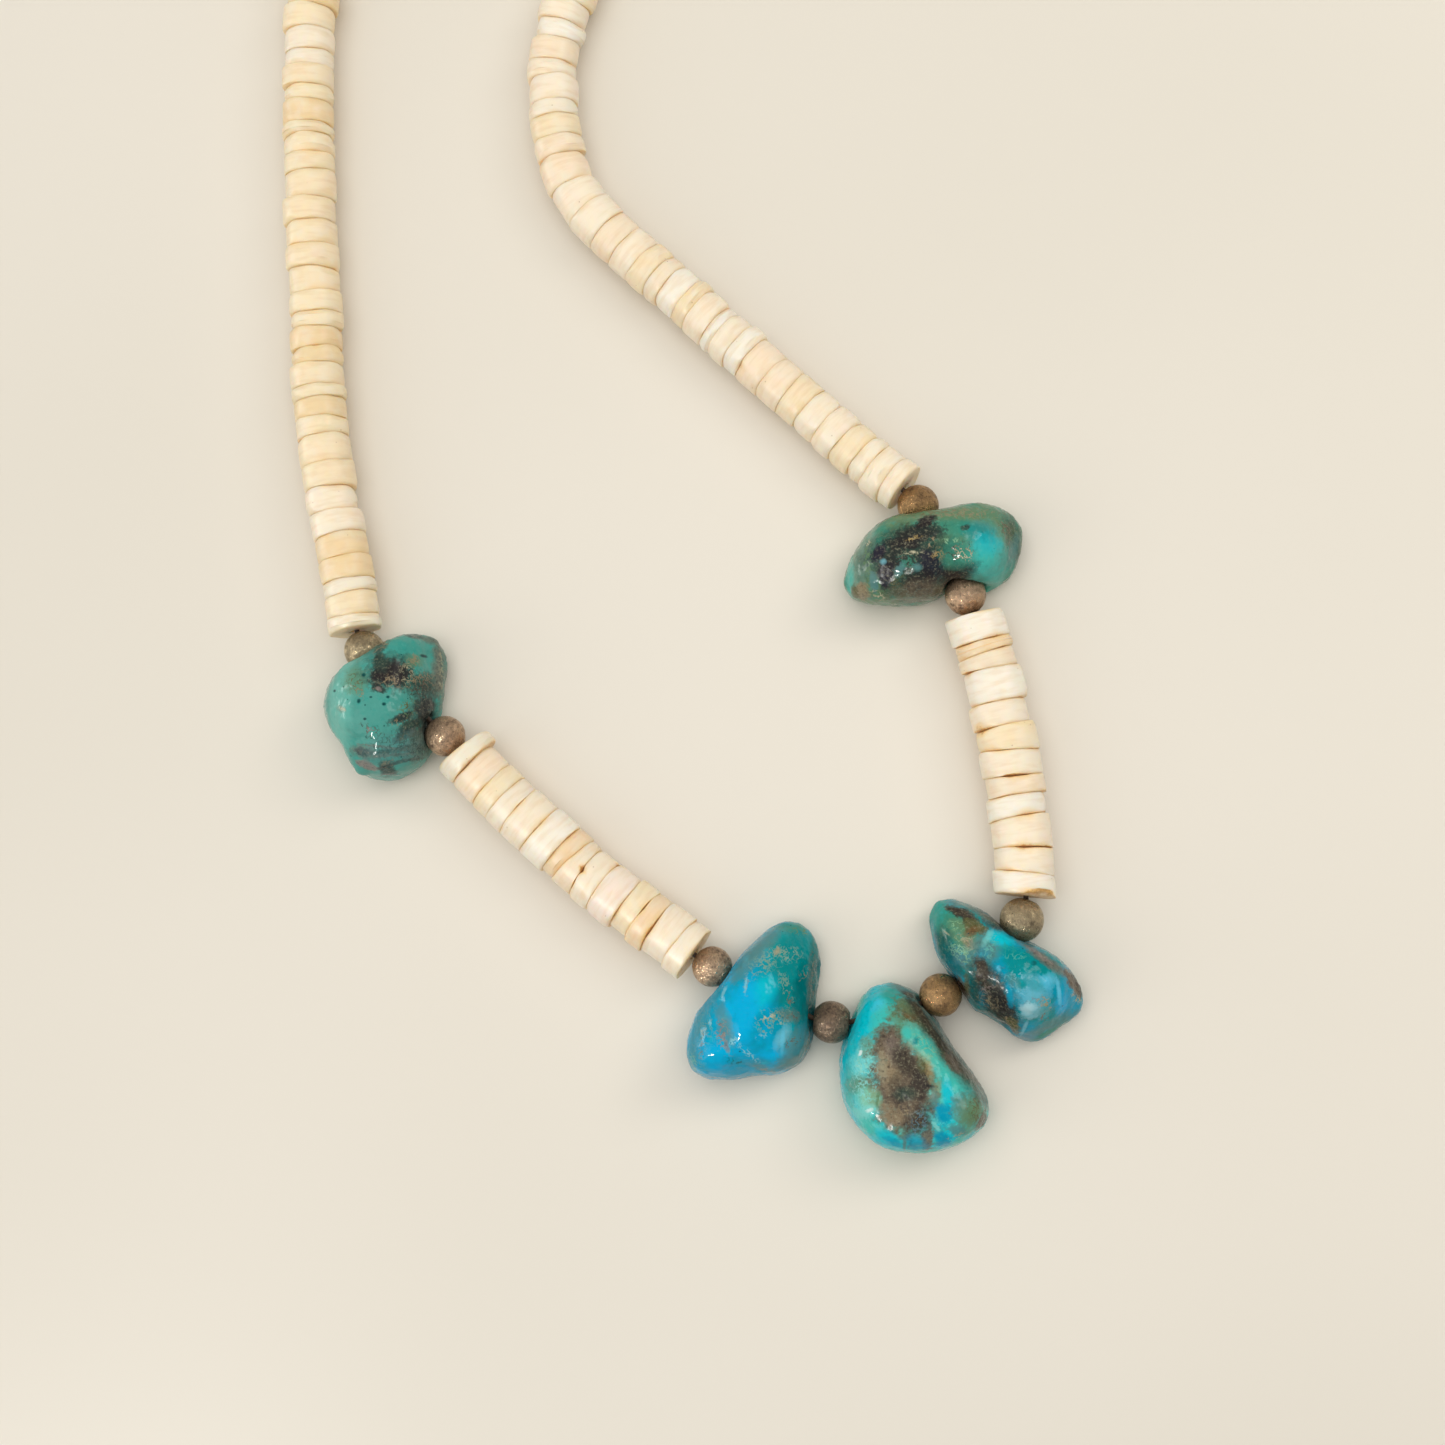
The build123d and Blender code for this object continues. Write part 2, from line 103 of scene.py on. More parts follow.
# %% [markdown]
# The table and the light
#
# The table is a smooth warm white top. A wide ceiling light does most of the work, but nothing mirrors
# it, because the phone that took the photograph hid the ceiling from the polished stones. A window at
# the front left brightens that side, and a small lamp at the back right sends soft shadows to the
# lower left. The glint and the window sill light nothing: they are only mirrored, as the small
# highlights on the polish. Plain colours come out as painted with the Standard view, so it is set
# here.

# %% Build the table and hang the lights


def paint(red, green, blue):
    """Colour as a screen shows it, from 0 to 255, in the linear values that nodes take."""
    channels = []
    for value in (red, green, blue):
        share = value / 255
        channels.append(share / 12.92 if share <= 0.04045 else ((share + 0.055) / 1.055) ** 2.4)
    return (*channels, 1.0)


table_size = 3000
scene_middle = Vector((5, -45, 0))

# Place and size are in millimetres and the power in watts. Some only light and some are only mirrored.
Softbox = namedtuple("Softbox", "place size power tone lights mirrored")
SOFTBOXES = {
    "ceiling": Softbox((0, 100, 900), 1100, 7.2, paint(255, 252, 246), True, False),
    "window": Softbox((-800, -380, 620), 760, 2.6, paint(255, 249, 240), True, True),
    "lamp": Softbox((420, 200, 420), 260, 0.9, paint(255, 250, 242), True, True),
    "glint": Softbox((-160, -270, 260), 40, 0.8, paint(255, 252, 246), False, True),
    "window sill": Softbox((-700, 60, 130), 200, 1.0, paint(255, 252, 246), False, True)}


def add_table():
    """Flat table top under the necklace."""
    mesh = bpy.data.meshes.new("table_top")
    half = table_size / 2 * MM
    corners = [(x * half, y * half, 0) for x, y in ((-1, -1), (1, -1), (1, 1), (-1, 1))]
    mesh.from_pydata(corners, [], [(0, 1, 2, 3)])
    table = bpy.data.objects.new("table_top", mesh)
    bpy.context.scene.collection.objects.link(table)
    return table


def add_softbox(name, softbox):
    """Square light that looks at the middle of the scene, and lights or is mirrored only where told."""
    light = bpy.data.lights.new(name, "AREA")
    light.size = softbox.size * MM
    light.energy = softbox.power
    light.color = softbox.tone[:3]
    hung = bpy.data.objects.new(name, light)
    hung.location = Vector(softbox.place) * MM
    hung.visible_diffuse = softbox.lights
    hung.visible_glossy = softbox.mirrored
    toward = scene_middle - Vector(softbox.place)
    hung.rotation_mode = "QUATERNION"
    hung.rotation_quaternion = toward.to_track_quat("-Z", "Y")
    bpy.context.scene.collection.objects.link(hung)


table = add_table()
for name, softbox in SOFTBOXES.items():
    add_softbox(name, softbox)
bpy.context.scene.view_settings.view_transform = "Standard"

# %% [markdown]
# A few words for wiring nodes
#
# A material is a tree of nodes. Written out link by link it gets long, so these helpers add one node,
# fill its sockets with plain values or with other nodes' outputs, and hand back what comes out.

# %% Helpers for node trees


def add_node(tree, kind, sockets=None, **settings):
    """Add a shader node, with its sockets set or linked by name or number."""
    node = tree.nodes.new("ShaderNode" + kind)
    for name, value in settings.items():
        setattr(node, name, value)
    for name, value in (sockets or {}).items():
        if isinstance(value, bpy.types.NodeSocket):
            tree.links.new(value, node.inputs[name])
        else:
            node.inputs[name].default_value = value
    return node


def calculate(tree, operation, first, second=0.0, limited=False):
    """One step of arithmetic on two values."""
    return add_node(tree, "Math", {0: first, 1: second}, operation=operation,
                    use_clamp=limited).outputs[0]


def times(tree, first, second):
    """Product of two values."""
    return calculate(tree, "MULTIPLY", first, second)


def minus(tree, first, second):
    """Difference of two values."""
    return calculate(tree, "SUBTRACT", first, second)


def on_vectors(tree, operation, first, second=(0, 0, 0)):
    """One step of arithmetic on two vectors."""
    return add_node(tree, "VectorMath", {0: first, 1: second}, operation=operation).outputs[0]


def lay_over(tree, mask, under, over):
    """Colour over another colour where the mask is white."""
    return add_node(tree, "Mix", {0: mask, 6: under, 7: over}, data_type="RGBA").outputs[2]


def tint(tree, colour, mask, share, tone):
    """Colour with a share of a tone laid over it where the mask is white."""
    return lay_over(tree, times(tree, mask, share), colour, tone)


def between(tree, mask, low, high):
    """Value that goes from low to high with the mask."""
    return add_node(tree, "MapRange", {0: mask, 3: low, 4: high}).outputs[0]


def ramp(tree, value, low, high):
    """Soft step from 0 at low to 1 at high."""
    return add_node(tree, "MapRange", {0: value, 1: low, 2: high},
                    interpolation_type="SMOOTHSTEP").outputs[0]


def in_millimetres(tree):
    """Place on the piece, in millimetres of the frame."""
    place = add_node(tree, "TexCoord").outputs["Object"]
    return add_node(tree, "VectorMath", {0: place, "Scale": 1 / MM}, operation="SCALE").outputs[0]


def cloudy(tree, place, scale, detail=4.0, roughness=0.55):
    """Cloudy pattern from 0 to 1 with so many clouds to a millimetre."""
    return add_node(tree, "TexNoise", {"Vector": place, "Scale": scale, "Detail": detail,
                                       "Roughness": roughness}).outputs["Fac"]


# %% Helpers for node groups and materials


def start_group(name, inputs, outputs):
    """Empty node group with named sockets, and its input and output nodes."""
    group = bpy.data.node_groups.new(name, "ShaderNodeTree")
    for label, kind, default in inputs:
        socket = group.interface.new_socket(label, in_out="INPUT", socket_type=kind)
        socket.default_value = default
    for label, kind in outputs:
        group.interface.new_socket(label, in_out="OUTPUT", socket_type=kind)
    given = group.nodes.new("NodeGroupInput").outputs
    return group, given, group.nodes.new("NodeGroupOutput").inputs


def use_group(tree, group, **sockets):
    """Place a node group in a tree. Words in a socket's name are joined by underscores here."""
    node = tree.nodes.new("ShaderNodeGroup")
    node.node_tree = group
    for name, value in sockets.items():
        socket = node.inputs[name.replace("_", " ")]
        if isinstance(value, bpy.types.NodeSocket):
            tree.links.new(value, socket)
        else:
            socket.default_value = value
    return node.outputs


def start_material(name):
    """Material with its tree and its Principled shader."""
    material = bpy.data.materials.new(name)
    material.use_nodes = True
    tree = material.node_tree
    return material, tree, tree.nodes["Principled BSDF"]


def add_bump(tree, shader, height, depth, strength=1.0):
    """Fine relief on a shader, so deep in millimetres."""
    bump = add_node(tree, "Bump", {"Strength": strength, "Distance": depth * MM, "Height": height})
    tree.links.new(bump.outputs["Normal"], shader.inputs["Normal"])


# %% [markdown]
# The room
#
# Polished stone shows what is around it. The photograph's room is bright only on the window's side,
# with the dark phone straight above. So this room is brightest at the window wall and dim elsewhere,
# which keeps the turquoise deep in colour.

# %% Light the room
room_tone = paint(246, 244, 240)
room_light = {"window wall": 0.55, "far wall": 0.22, "overhead": 0.2}
window_way = Vector((-0.9, -0.43, 0.0))


def add_room():
    """Pale surroundings, brightest at the wall with the window and dim overhead."""
    room = bpy.data.worlds.new("pale_room")
    room.use_nodes = True
    tree = room.node_tree
    way = add_node(tree, "TexCoord").outputs["Generated"]
    height = add_node(tree, "SeparateXYZ", {0: way}).outputs[2]
    facing = add_node(tree, "VectorMath", {0: way, 1: window_way},
                      operation="DOT_PRODUCT").outputs["Value"]
    wall = add_node(tree, "MapRange", {0: facing, 1: -1.0, 3: room_light["far wall"],
                                       4: room_light["window wall"]}).outputs[0]
    light = between(tree, height, wall, room_light["overhead"])
    background = tree.nodes["Background"]
    background.inputs["Color"].default_value = room_tone
    tree.links.new(light, background.inputs["Strength"])
    bpy.context.scene.world = room


add_room()
print("light of the room:", room_light)

# %% [markdown]
# Effects that several materials share
#
# A ragged mark is an ellipsoid at a place on the piece whose edge is pushed about by clouds and whose
# inside is eaten by grains: it stands for a patch of host rock, a vein or a web, and in a few places
# for a painted highlight or painted shade. It also hands its place on, slightly bent, to the mark
# laid over it, as a later vein shifts an earlier one. Grit is the speckled grain of rock, shell and
# tarnish. Each is one node group, placed many times with its own numbers, so that a change in one
# place reaches all.

# %% Build the shared node groups
mark_push = 4.0
mark_bite = 1.5
bite_edge = 0.2
mark_bend = 0.03


def build_mark_group():
    """Mask of one ragged mark."""
    group, given, result = start_group(
        "ragged mark",
        [("Place", "NodeSocketVector", (0, 0, 0)),
         ("Center", "NodeSocketVector", (0, 0, 0)), ("Half Size", "NodeSocketVector", (1, 1, 1)),
         ("Turn", "NodeSocketFloat", 0.0), ("Ragged", "NodeSocketFloat", 0.3),
         ("Clouds", "NodeSocketFloat", 0.5), ("Grains", "NodeSocketFloat", 0.5),
         ("Soft", "NodeSocketFloat", 0.2), ("Broken", "NodeSocketFloat", 0.0),
         ("Strength", "NodeSocketFloat", 1.0)],
        [("Mask", "NodeSocketFloat"), ("Bent Place", "NodeSocketVector")])
    place = given["Place"]
    away = on_vectors(group, "SUBTRACT", place, given["Center"])
    back = times(group, given["Turn"], -1.0)
    turned = add_node(group, "VectorRotate", {"Vector": away, "Angle": back},
                      rotation_type="Z_AXIS").outputs[0]
    scaled = on_vectors(group, "DIVIDE", turned, given["Half Size"])
    distance = add_node(group, "VectorMath", {0: scaled}, operation="LENGTH").outputs["Value"]
    centred = minus(group, given["Clouds"], 0.5)
    ragged = times(group, times(group, centred, mark_push), given["Ragged"])
    distance = calculate(group, "ADD", distance, ragged)
    inner = minus(group, 1.0, given["Soft"])
    outer = calculate(group, "ADD", 1.0, given["Soft"])
    mask = minus(group, 1.0, ramp(group, distance, inner, outer))
    eaten = times(group, times(group, given["Grains"], mark_bite), given["Broken"])
    mask = times(group, mask, ramp(group, minus(group, mask, eaten), 0, bite_edge))
    group.links.new(times(group, mask, given["Strength"]), result["Mask"])
    bend = add_node(group, "CombineXYZ", {0: times(group, mask, mark_bend)}).outputs[0]
    group.links.new(on_vectors(group, "ADD", place, bend), result["Bent Place"])
    return group


def build_grit_group():
    """Grain of rock or tarnish: a light and dark pattern, and scattered specks."""
    group, given, result = start_group(
        "grit",
        [("Place", "NodeSocketVector", (0, 0, 0)), ("Grain", "NodeSocketFloat", 2.0),
         ("Speck Share", "NodeSocketFloat", 0.2), ("Speck Size", "NodeSocketFloat", 0.3)],
        [("Grain", "NodeSocketFloat"), ("Specks", "NodeSocketFloat")])
    fine = cloudy(group, given["Place"], scale=given["Grain"], detail=6.0, roughness=0.7)
    group.links.new(ramp(group, fine, 0.3, 0.7), result["Grain"])
    cells = add_node(group, "TexVoronoi", {"Vector": given["Place"], "Scale": given["Grain"]})
    lot = add_node(group, "SeparateColor", {"Color": cells.outputs["Color"]}).outputs[0]
    chosen = calculate(group, "LESS_THAN", lot, given["Speck Share"])
    inner = times(group, given["Speck Size"], 0.5)
    dots = minus(group, 1.0, ramp(group, cells.outputs["Distance"], inner, given["Speck Size"]))
    group.links.new(times(group, dots, chosen), result["Specks"])
    return group


mark_group = build_mark_group()
grit_group = build_grit_group()
print("node groups:", [g.name for g in bpy.data.node_groups])

# %% [markdown]
# The table's finish
#
# A real table top is never one flat tone. Very broad clouds between two close whites are enough, with
# a satin roughness that shows no clear mirror image of the beads.

# %% Finish the table
table_cloud_scale = 0.006
table_tones = (paint(222, 217, 206), paint(228, 223, 213))


def table_material():
    """Smooth warm white table top, a little uneven in tone."""
    material, tree, shader = start_material("table_top")
    place = in_millimetres(tree)
    clouds = ramp(tree, cloudy(tree, place, scale=table_cloud_scale, detail=2.0), 0.3, 0.7)
    tree.links.new(lay_over(tree, clouds, *table_tones), shader.inputs["Base Color"])
    shader.inputs["Roughness"].default_value = 0.42
    shader.inputs["Specular IOR Level"].default_value = 0.35
    return material


table.data.materials.append(table_material())
print("table top is", table_size, "mm wide")

# %% [markdown]
# The nuggets' shape
#
# A tumbled nugget is a broken lump whose edges were rounded by hours in a barrel. The frame's nugget
# has the right outline, height and bore, but flat triangles. A voxel remesh turns it into an even skin
# of small squares, and smoothing rounds the edges as the barrel did. Then the skin is moved out by
# what the smoothing took, waved and pitted a little, and raised or sunk where the photograph shows
# lumps and hollows, each found by a line of sight. Nothing may go below the table.

# %% Take a solid's mesh and move its vertices
joined_within = 0.002


def solid_in_millimetres(node):
    """Copy of a node's mesh in millimetres, with its corners joined."""
    shape = bmesh.new()
    shape.from_mesh(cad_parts[node].data)
    bmesh.ops.scale(shape, vec=Vector((1, 1, 1)) / MM, verts=shape.verts)
    bmesh.ops.remove_doubles(shape, verts=shape.verts, dist=joined_within)
    return shape


def with_modifiers(mesh, *modifiers):
    """Mesh after modifiers, each given as its type and its settings."""
    carrier = bpy.data.objects.new("carrier", mesh)
    bpy.context.scene.collection.objects.link(carrier)
    for kind, settings in modifiers:
        modifier = carrier.modifiers.new(kind.lower(), kind)
        for name, value in settings.items():
            setattr(modifier, name, value)
    graph = bpy.context.evaluated_depsgraph_get()
    made = bpy.data.meshes.new_from_object(carrier.evaluated_get(graph))
    bpy.data.objects.remove(carrier)
    return made


def places_and_normals(mesh):
    """Vertices and their normals as arrays."""
    places = np.zeros(len(mesh.vertices) * 3)
    normals = np.zeros(len(mesh.vertices) * 3)
    mesh.vertices.foreach_get("co", places)
    mesh.vertices.foreach_get("normal", normals)
    return places.reshape(-1, 3), normals.reshape(-1, 3)


def move_vertices(mesh, places):
    """Give a mesh new vertex places."""
    mesh.vertices.foreach_set("co", places.ravel())
    mesh.update()


# %% Shape a nugget from its solid
voxel = 0.2
smoothing_rounds = 48
smoothing_share = 0.5
smoothing_loss = 0.10
waviness = 0.16
wave_scale = 0.30
wave_middle = 0.1
pitting = 0.035
pit_scale = 1.6
pit_middle = 0.3
nugget_middle_height = 4.0
noise_fade = 0.8
noise_step = 2.1
noise_layers = 4
seed_steps = (17.3, 5.1, 9.7)

# The width is in the photograph's pixels and the height in millimetres, negative for a hollow.
Lump = namedtuple("Lump", "px py wide high")


def meets(surface, px, py):
    """Where the line of sight through a pixel meets a nugget, or else comes nearest to it."""
    place, _, _, distance = surface.ray_cast(camera_place, sight(px, py))
    if place is None:
        to_middle = (camera_place.z - nugget_middle_height) / -sight(px, py).z
        place, _, _, _ = surface.find_nearest(camera_place + sight(px, py) * to_middle)
        distance = (place - camera_place).length
    return place, distance


def rough_lump(places, scale, seed):
    """Cloudy heights from about -1 to 1 at every place."""
    shift = Vector([seed * step for step in seed_steps])
    return np.array([noise.fractal(Vector(p) * scale + shift, noise_fade, noise_step, noise_layers)
                     for p in places])


def shape_nugget(node, lumps, seed):
    """Tumbled nugget in millimetres: even skin, rounded edges, lumps and a slight waviness."""
    shape = solid_in_millimetres(node)
    mesh = bpy.data.meshes.new(node)
    shape.to_mesh(mesh)
    shape.free()
    mesh = with_modifiers(
        mesh, ("REMESH", {"mode": "VOXEL", "voxel_size": voxel}),
        ("SMOOTH", {"factor": smoothing_share, "iterations": smoothing_rounds}))
    places, normals = places_and_normals(mesh)
    surface = BVHTree.FromPolygons([Vector(p) for p in places], [p.vertices for p in mesh.polygons])
    rise = smoothing_loss + waviness * (rough_lump(places, wave_scale, seed) - wave_middle)
    rise += pitting * (rough_lump(places, pit_scale, seed + 1) - pit_middle)
    for lump in lumps:
        middle, distance = meets(surface, lump.px, lump.py)
        reach = lump.wide * distance / focal_in_pixels
        away = np.linalg.norm(places - np.array(middle), axis=1) / reach
        rise += lump.high * np.exp(-away ** 2)
    places = places + normals * rise[:, None]
    places[:, 2] = np.maximum(places[:, 2], 0.0)
    move_vertices(mesh, places)
    return mesh, surface


# %% [markdown]
# From shape to piece
#
# Every finished mesh goes through the same door: it is scaled to metres, given its material, shaded
# smooth and hung on the frame's body, and the solids it stands for are hidden.

# %% Turn a mesh into a piece
piece_triangles = {}


def add_piece(name, mesh, material, nodes):
    """Piece of the necklace that stands for some of the frame's nodes."""
    mesh.transform(Matrix.Scale(MM, 4))
    mesh.materials.clear()
    mesh.materials.append(material)
    mesh.polygons.foreach_set("use_smooth", [True] * len(mesh.polygons))
    piece = bpy.data.objects.new(name, mesh)
    bpy.context.scene.collection.objects.link(piece)
    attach(piece, "root")
    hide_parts(*nodes)
    piece_triangles[name] = sum(len(p.vertices) - 2 for p in mesh.polygons)
    return piece


# %% [markdown]
# Turquoise
#
# Turquoise grows in cracks of brown rock, so a nugget shows blue or green stone with patches, veins
# and specks of its host. The body has a ground tone, clouds of a second, a mottle of a third and a
# fine bloom of a fourth. The marks over it are charted, and a line of sight from the camera finds
# each one's place on the stone. A field is a soft change of tone, a cloud softer still, and a
# patch, a rock and a vein are more ragged and more eaten by grains. A web is a net of fine threads.
# Rocky marks are also crumbly and rougher than the polish round them. A few pale marks are painted
# highlights and painted sheen, and a few dark ones are painted shade.

# %% Mix the tones of turquoise and its host rock
# White serves only the painted highlights. Sky, milky blue, aqua and grey teal are the stone's own
# colours, but they also give a few painted highlights, and charcoal and dark teal a little painted
# shade.
TONES = {
    "charcoal": paint(40, 37, 38), "dark rock": paint(62, 56, 48), "brown rock": paint(98, 86, 72),
    "grey rock": paint(104, 106, 96), "tan rock": paint(146, 130, 102),
    "pale rock": paint(162, 160, 134), "cream": paint(200, 194, 164), "olive": paint(92, 92, 58),
    "gold": paint(158, 138, 92), "rust": paint(108, 82, 50), "rose grey": paint(136, 124, 120),
    "indigo": paint(36, 35, 50), "jade": paint(78, 154, 144), "pale jade": paint(108, 184, 172),
    "pale moss": paint(120, 158, 144), "slate green": paint(46, 66, 58),
    "dark olive": paint(70, 76, 58), "moss": paint(98, 130, 96), "pale green": paint(140, 190, 152),
    "sea green": paint(58, 136, 116), "grey teal": paint(84, 130, 130), "ink": paint(14, 70, 70),
    "dark teal": paint(0, 98, 102), "teal": paint(0, 136, 140), "green teal": paint(40, 152, 142),
    "light teal": paint(66, 190, 180), "aqua": paint(128, 214, 210), "cyan": paint(0, 190, 208),
    "deep blue": paint(0, 150, 182), "azure": paint(0, 172, 222), "sky": paint(96, 196, 226),
    "grey blue": paint(104, 148, 166), "milky blue": paint(124, 190, 206), "white": paint(226, 240, 238)}
ROCKY = {"charcoal", "dark rock", "brown rock", "grey rock", "tan rock", "pale rock", "cream", "olive",
         "gold", "rust", "rose grey", "indigo", "slate green", "dark olive"}
print("tones:", len(TONES), "of them rocky:", len(ROCKY))

# %% Lay marks over a tone
Look = namedtuple("Look", "ragged clouds soft broken")

LOOKS = {
    "field": Look(0.28, "broad", 0.50, 0.0), "cloud": Look(0.34, "middling", 0.75, 0.20),
    "patch": Look(0.42, "middling", 0.50, 0.40), "rock": Look(0.40, "middling", 0.42, 0.25),
    "vein": Look(0.45, "fine", 0.60, 0.50), "web": Look(0.50, "fine", 0.70, 1.0),
    "dot": Look(0.20, "fine", 0.55, 0.0)}

Mark = namedtuple("Mark", "px py long wide turn strength look tone")
depth_beyond = 1.6
web_scale = 1.1
web_thread = (0.008, 0.055)


def read_marks(table):
    """Marks from a table: a row of column names, then one mark to a row. A tone may be two words."""
    marks = []
    for row in table.strip().splitlines()[1:]:
        *numbers, look, tone = row.split(maxsplit=len(Mark._fields) - 1)
        marks.append(Mark(*map(float, numbers), look, tone))
    return marks


print("looks of a mark:", list(LOOKS))


def lay_marks(tree, place, colour, marks, surface):
    """Charted marks over a colour, and the mask of the rocky ones among them.

    Each mark bends the place a little for the marks laid over it, as veins do."""
    rock = 0.0
    clouds = {"broad": cloudy(tree, place, scale=0.4, detail=4.0, roughness=0.6),
              "middling": cloudy(tree, place, scale=0.9, detail=5.0, roughness=0.65),
              "fine": cloudy(tree, place, scale=1.5, detail=4.0, roughness=0.65)}
    grains = ramp(tree, cloudy(tree, place, scale=2.6, detail=4.0, roughness=0.65), 0.34, 0.66)
    middle_of_noise = minus(tree, cloudy(tree, place, scale=web_scale, detail=3.0, roughness=0.6), 0.5)
    web = ramp(tree, calculate(tree, "ABSOLUTE", middle_of_noise), *web_thread)
    for mark in marks:
        middle, distance = meets(surface, mark.px, mark.py)
        pixel = distance / focal_in_pixels
        deep = max(mark.long, mark.wide) * pixel + depth_beyond
        look = LOOKS[mark.look]
        laid = use_group(
            tree, mark_group, Place=place, Center=middle,
            Half_Size=(mark.long * pixel, mark.wide * pixel, deep), Turn=math.radians(mark.turn),
            Ragged=look.ragged, Clouds=clouds[look.clouds], Soft=look.soft,
            Grains=web if mark.look == "web" else grains, Broken=look.broken,
            Strength=mark.strength)
        mask, place = laid["Mask"], laid["Bent Place"]
        colour = lay_over(tree, mask, colour, TONES[mark.tone])
        if mark.tone in ROCKY:
            rock = calculate(tree, "MAXIMUM", mask, rock)
        else:
            rock = times(tree, rock, minus(tree, 1.0, mask))
    return colour, rock


# %% Mix polished turquoise
Body = namedtuple("Body", "ground clouds mottle bloom")

mottle_share = 0.45
pale_crumbs = 0.5
dark_crumbs = 0.55
ink_specks = 0.8
rock_depth = 0.7
polish_roughness = 0.05
rock_roughness = 0.24
worn_roughness = 0.10
turquoise_shine = 0.18
scratch_depth = 0.02


def crumble(tree, place, colour, rock):
    """Pale and dark crumbs over the rocky parts of a colour."""
    crumbs = cloudy(tree, place, scale=2.9, detail=5.0, roughness=0.75)
    light = times(tree, ramp(tree, crumbs, 0.50, 0.70), rock)
    colour = tint(tree, colour, light, pale_crumbs, TONES["pale rock"])
    dark = times(tree, ramp(tree, crumbs, 0.47, 0.34), rock)
    return tint(tree, colour, dark, dark_crumbs, TONES["charcoal"])


def turquoise_material(name, body, mottling, marks, surface):
    """Polished turquoise with charted patches of host rock."""
    material, tree, shader = start_material(name)
    place = in_millimetres(tree)
    clouds = ramp(tree, cloudy(tree, place, scale=0.28, detail=3.0), 0.36, 0.64)
    colour = lay_over(tree, clouds, TONES[body.ground], TONES[body.clouds])
    mottle = ramp(tree, cloudy(tree, place, scale=0.9, detail=5.0, roughness=0.6), 0.50, 0.72)
    colour = tint(tree, colour, mottle, mottle_share, TONES[body.mottle])
    colour, rock = lay_marks(tree, place, colour, marks, surface)
    fine = cloudy(tree, place, scale=1.7, detail=5.0, roughness=0.7)
    bloom = times(tree, ramp(tree, fine, 0.53, 0.70), mottling)
    colour = tint(tree, colour, bloom, minus(tree, 1.0, rock), TONES[body.bloom])
    deep = times(tree, ramp(tree, fine, 0.47, 0.30), between(tree, rock, mottling, rock_depth))
    colour = lay_over(tree, deep, colour, lay_over(tree, rock, TONES["dark teal"], TONES["charcoal"]))
    colour = crumble(tree, place, colour, rock)
    strewn = use_group(tree, grit_group, Place=place, Grain=1.3, Speck_Share=0.06, Speck_Size=0.18)
    colour = tint(tree, colour, strewn["Specks"], ink_specks, TONES["ink"])
    tree.links.new(colour, shader.inputs["Base Color"])
    worn = times(tree, cloudy(tree, place, scale=1.3, detail=4.0), worn_roughness)
    polish = between(tree, rock, polish_roughness, rock_roughness)
    tree.links.new(calculate(tree, "ADD", worn, polish), shader.inputs["Roughness"])
    shader.inputs["Specular IOR Level"].default_value = turquoise_shine
    relief = minus(tree, cloudy(tree, place, scale=2.2, detail=5.0), times(tree, deep, rock))
    add_bump(tree, shader, relief, scratch_depth, 0.5)
    return material
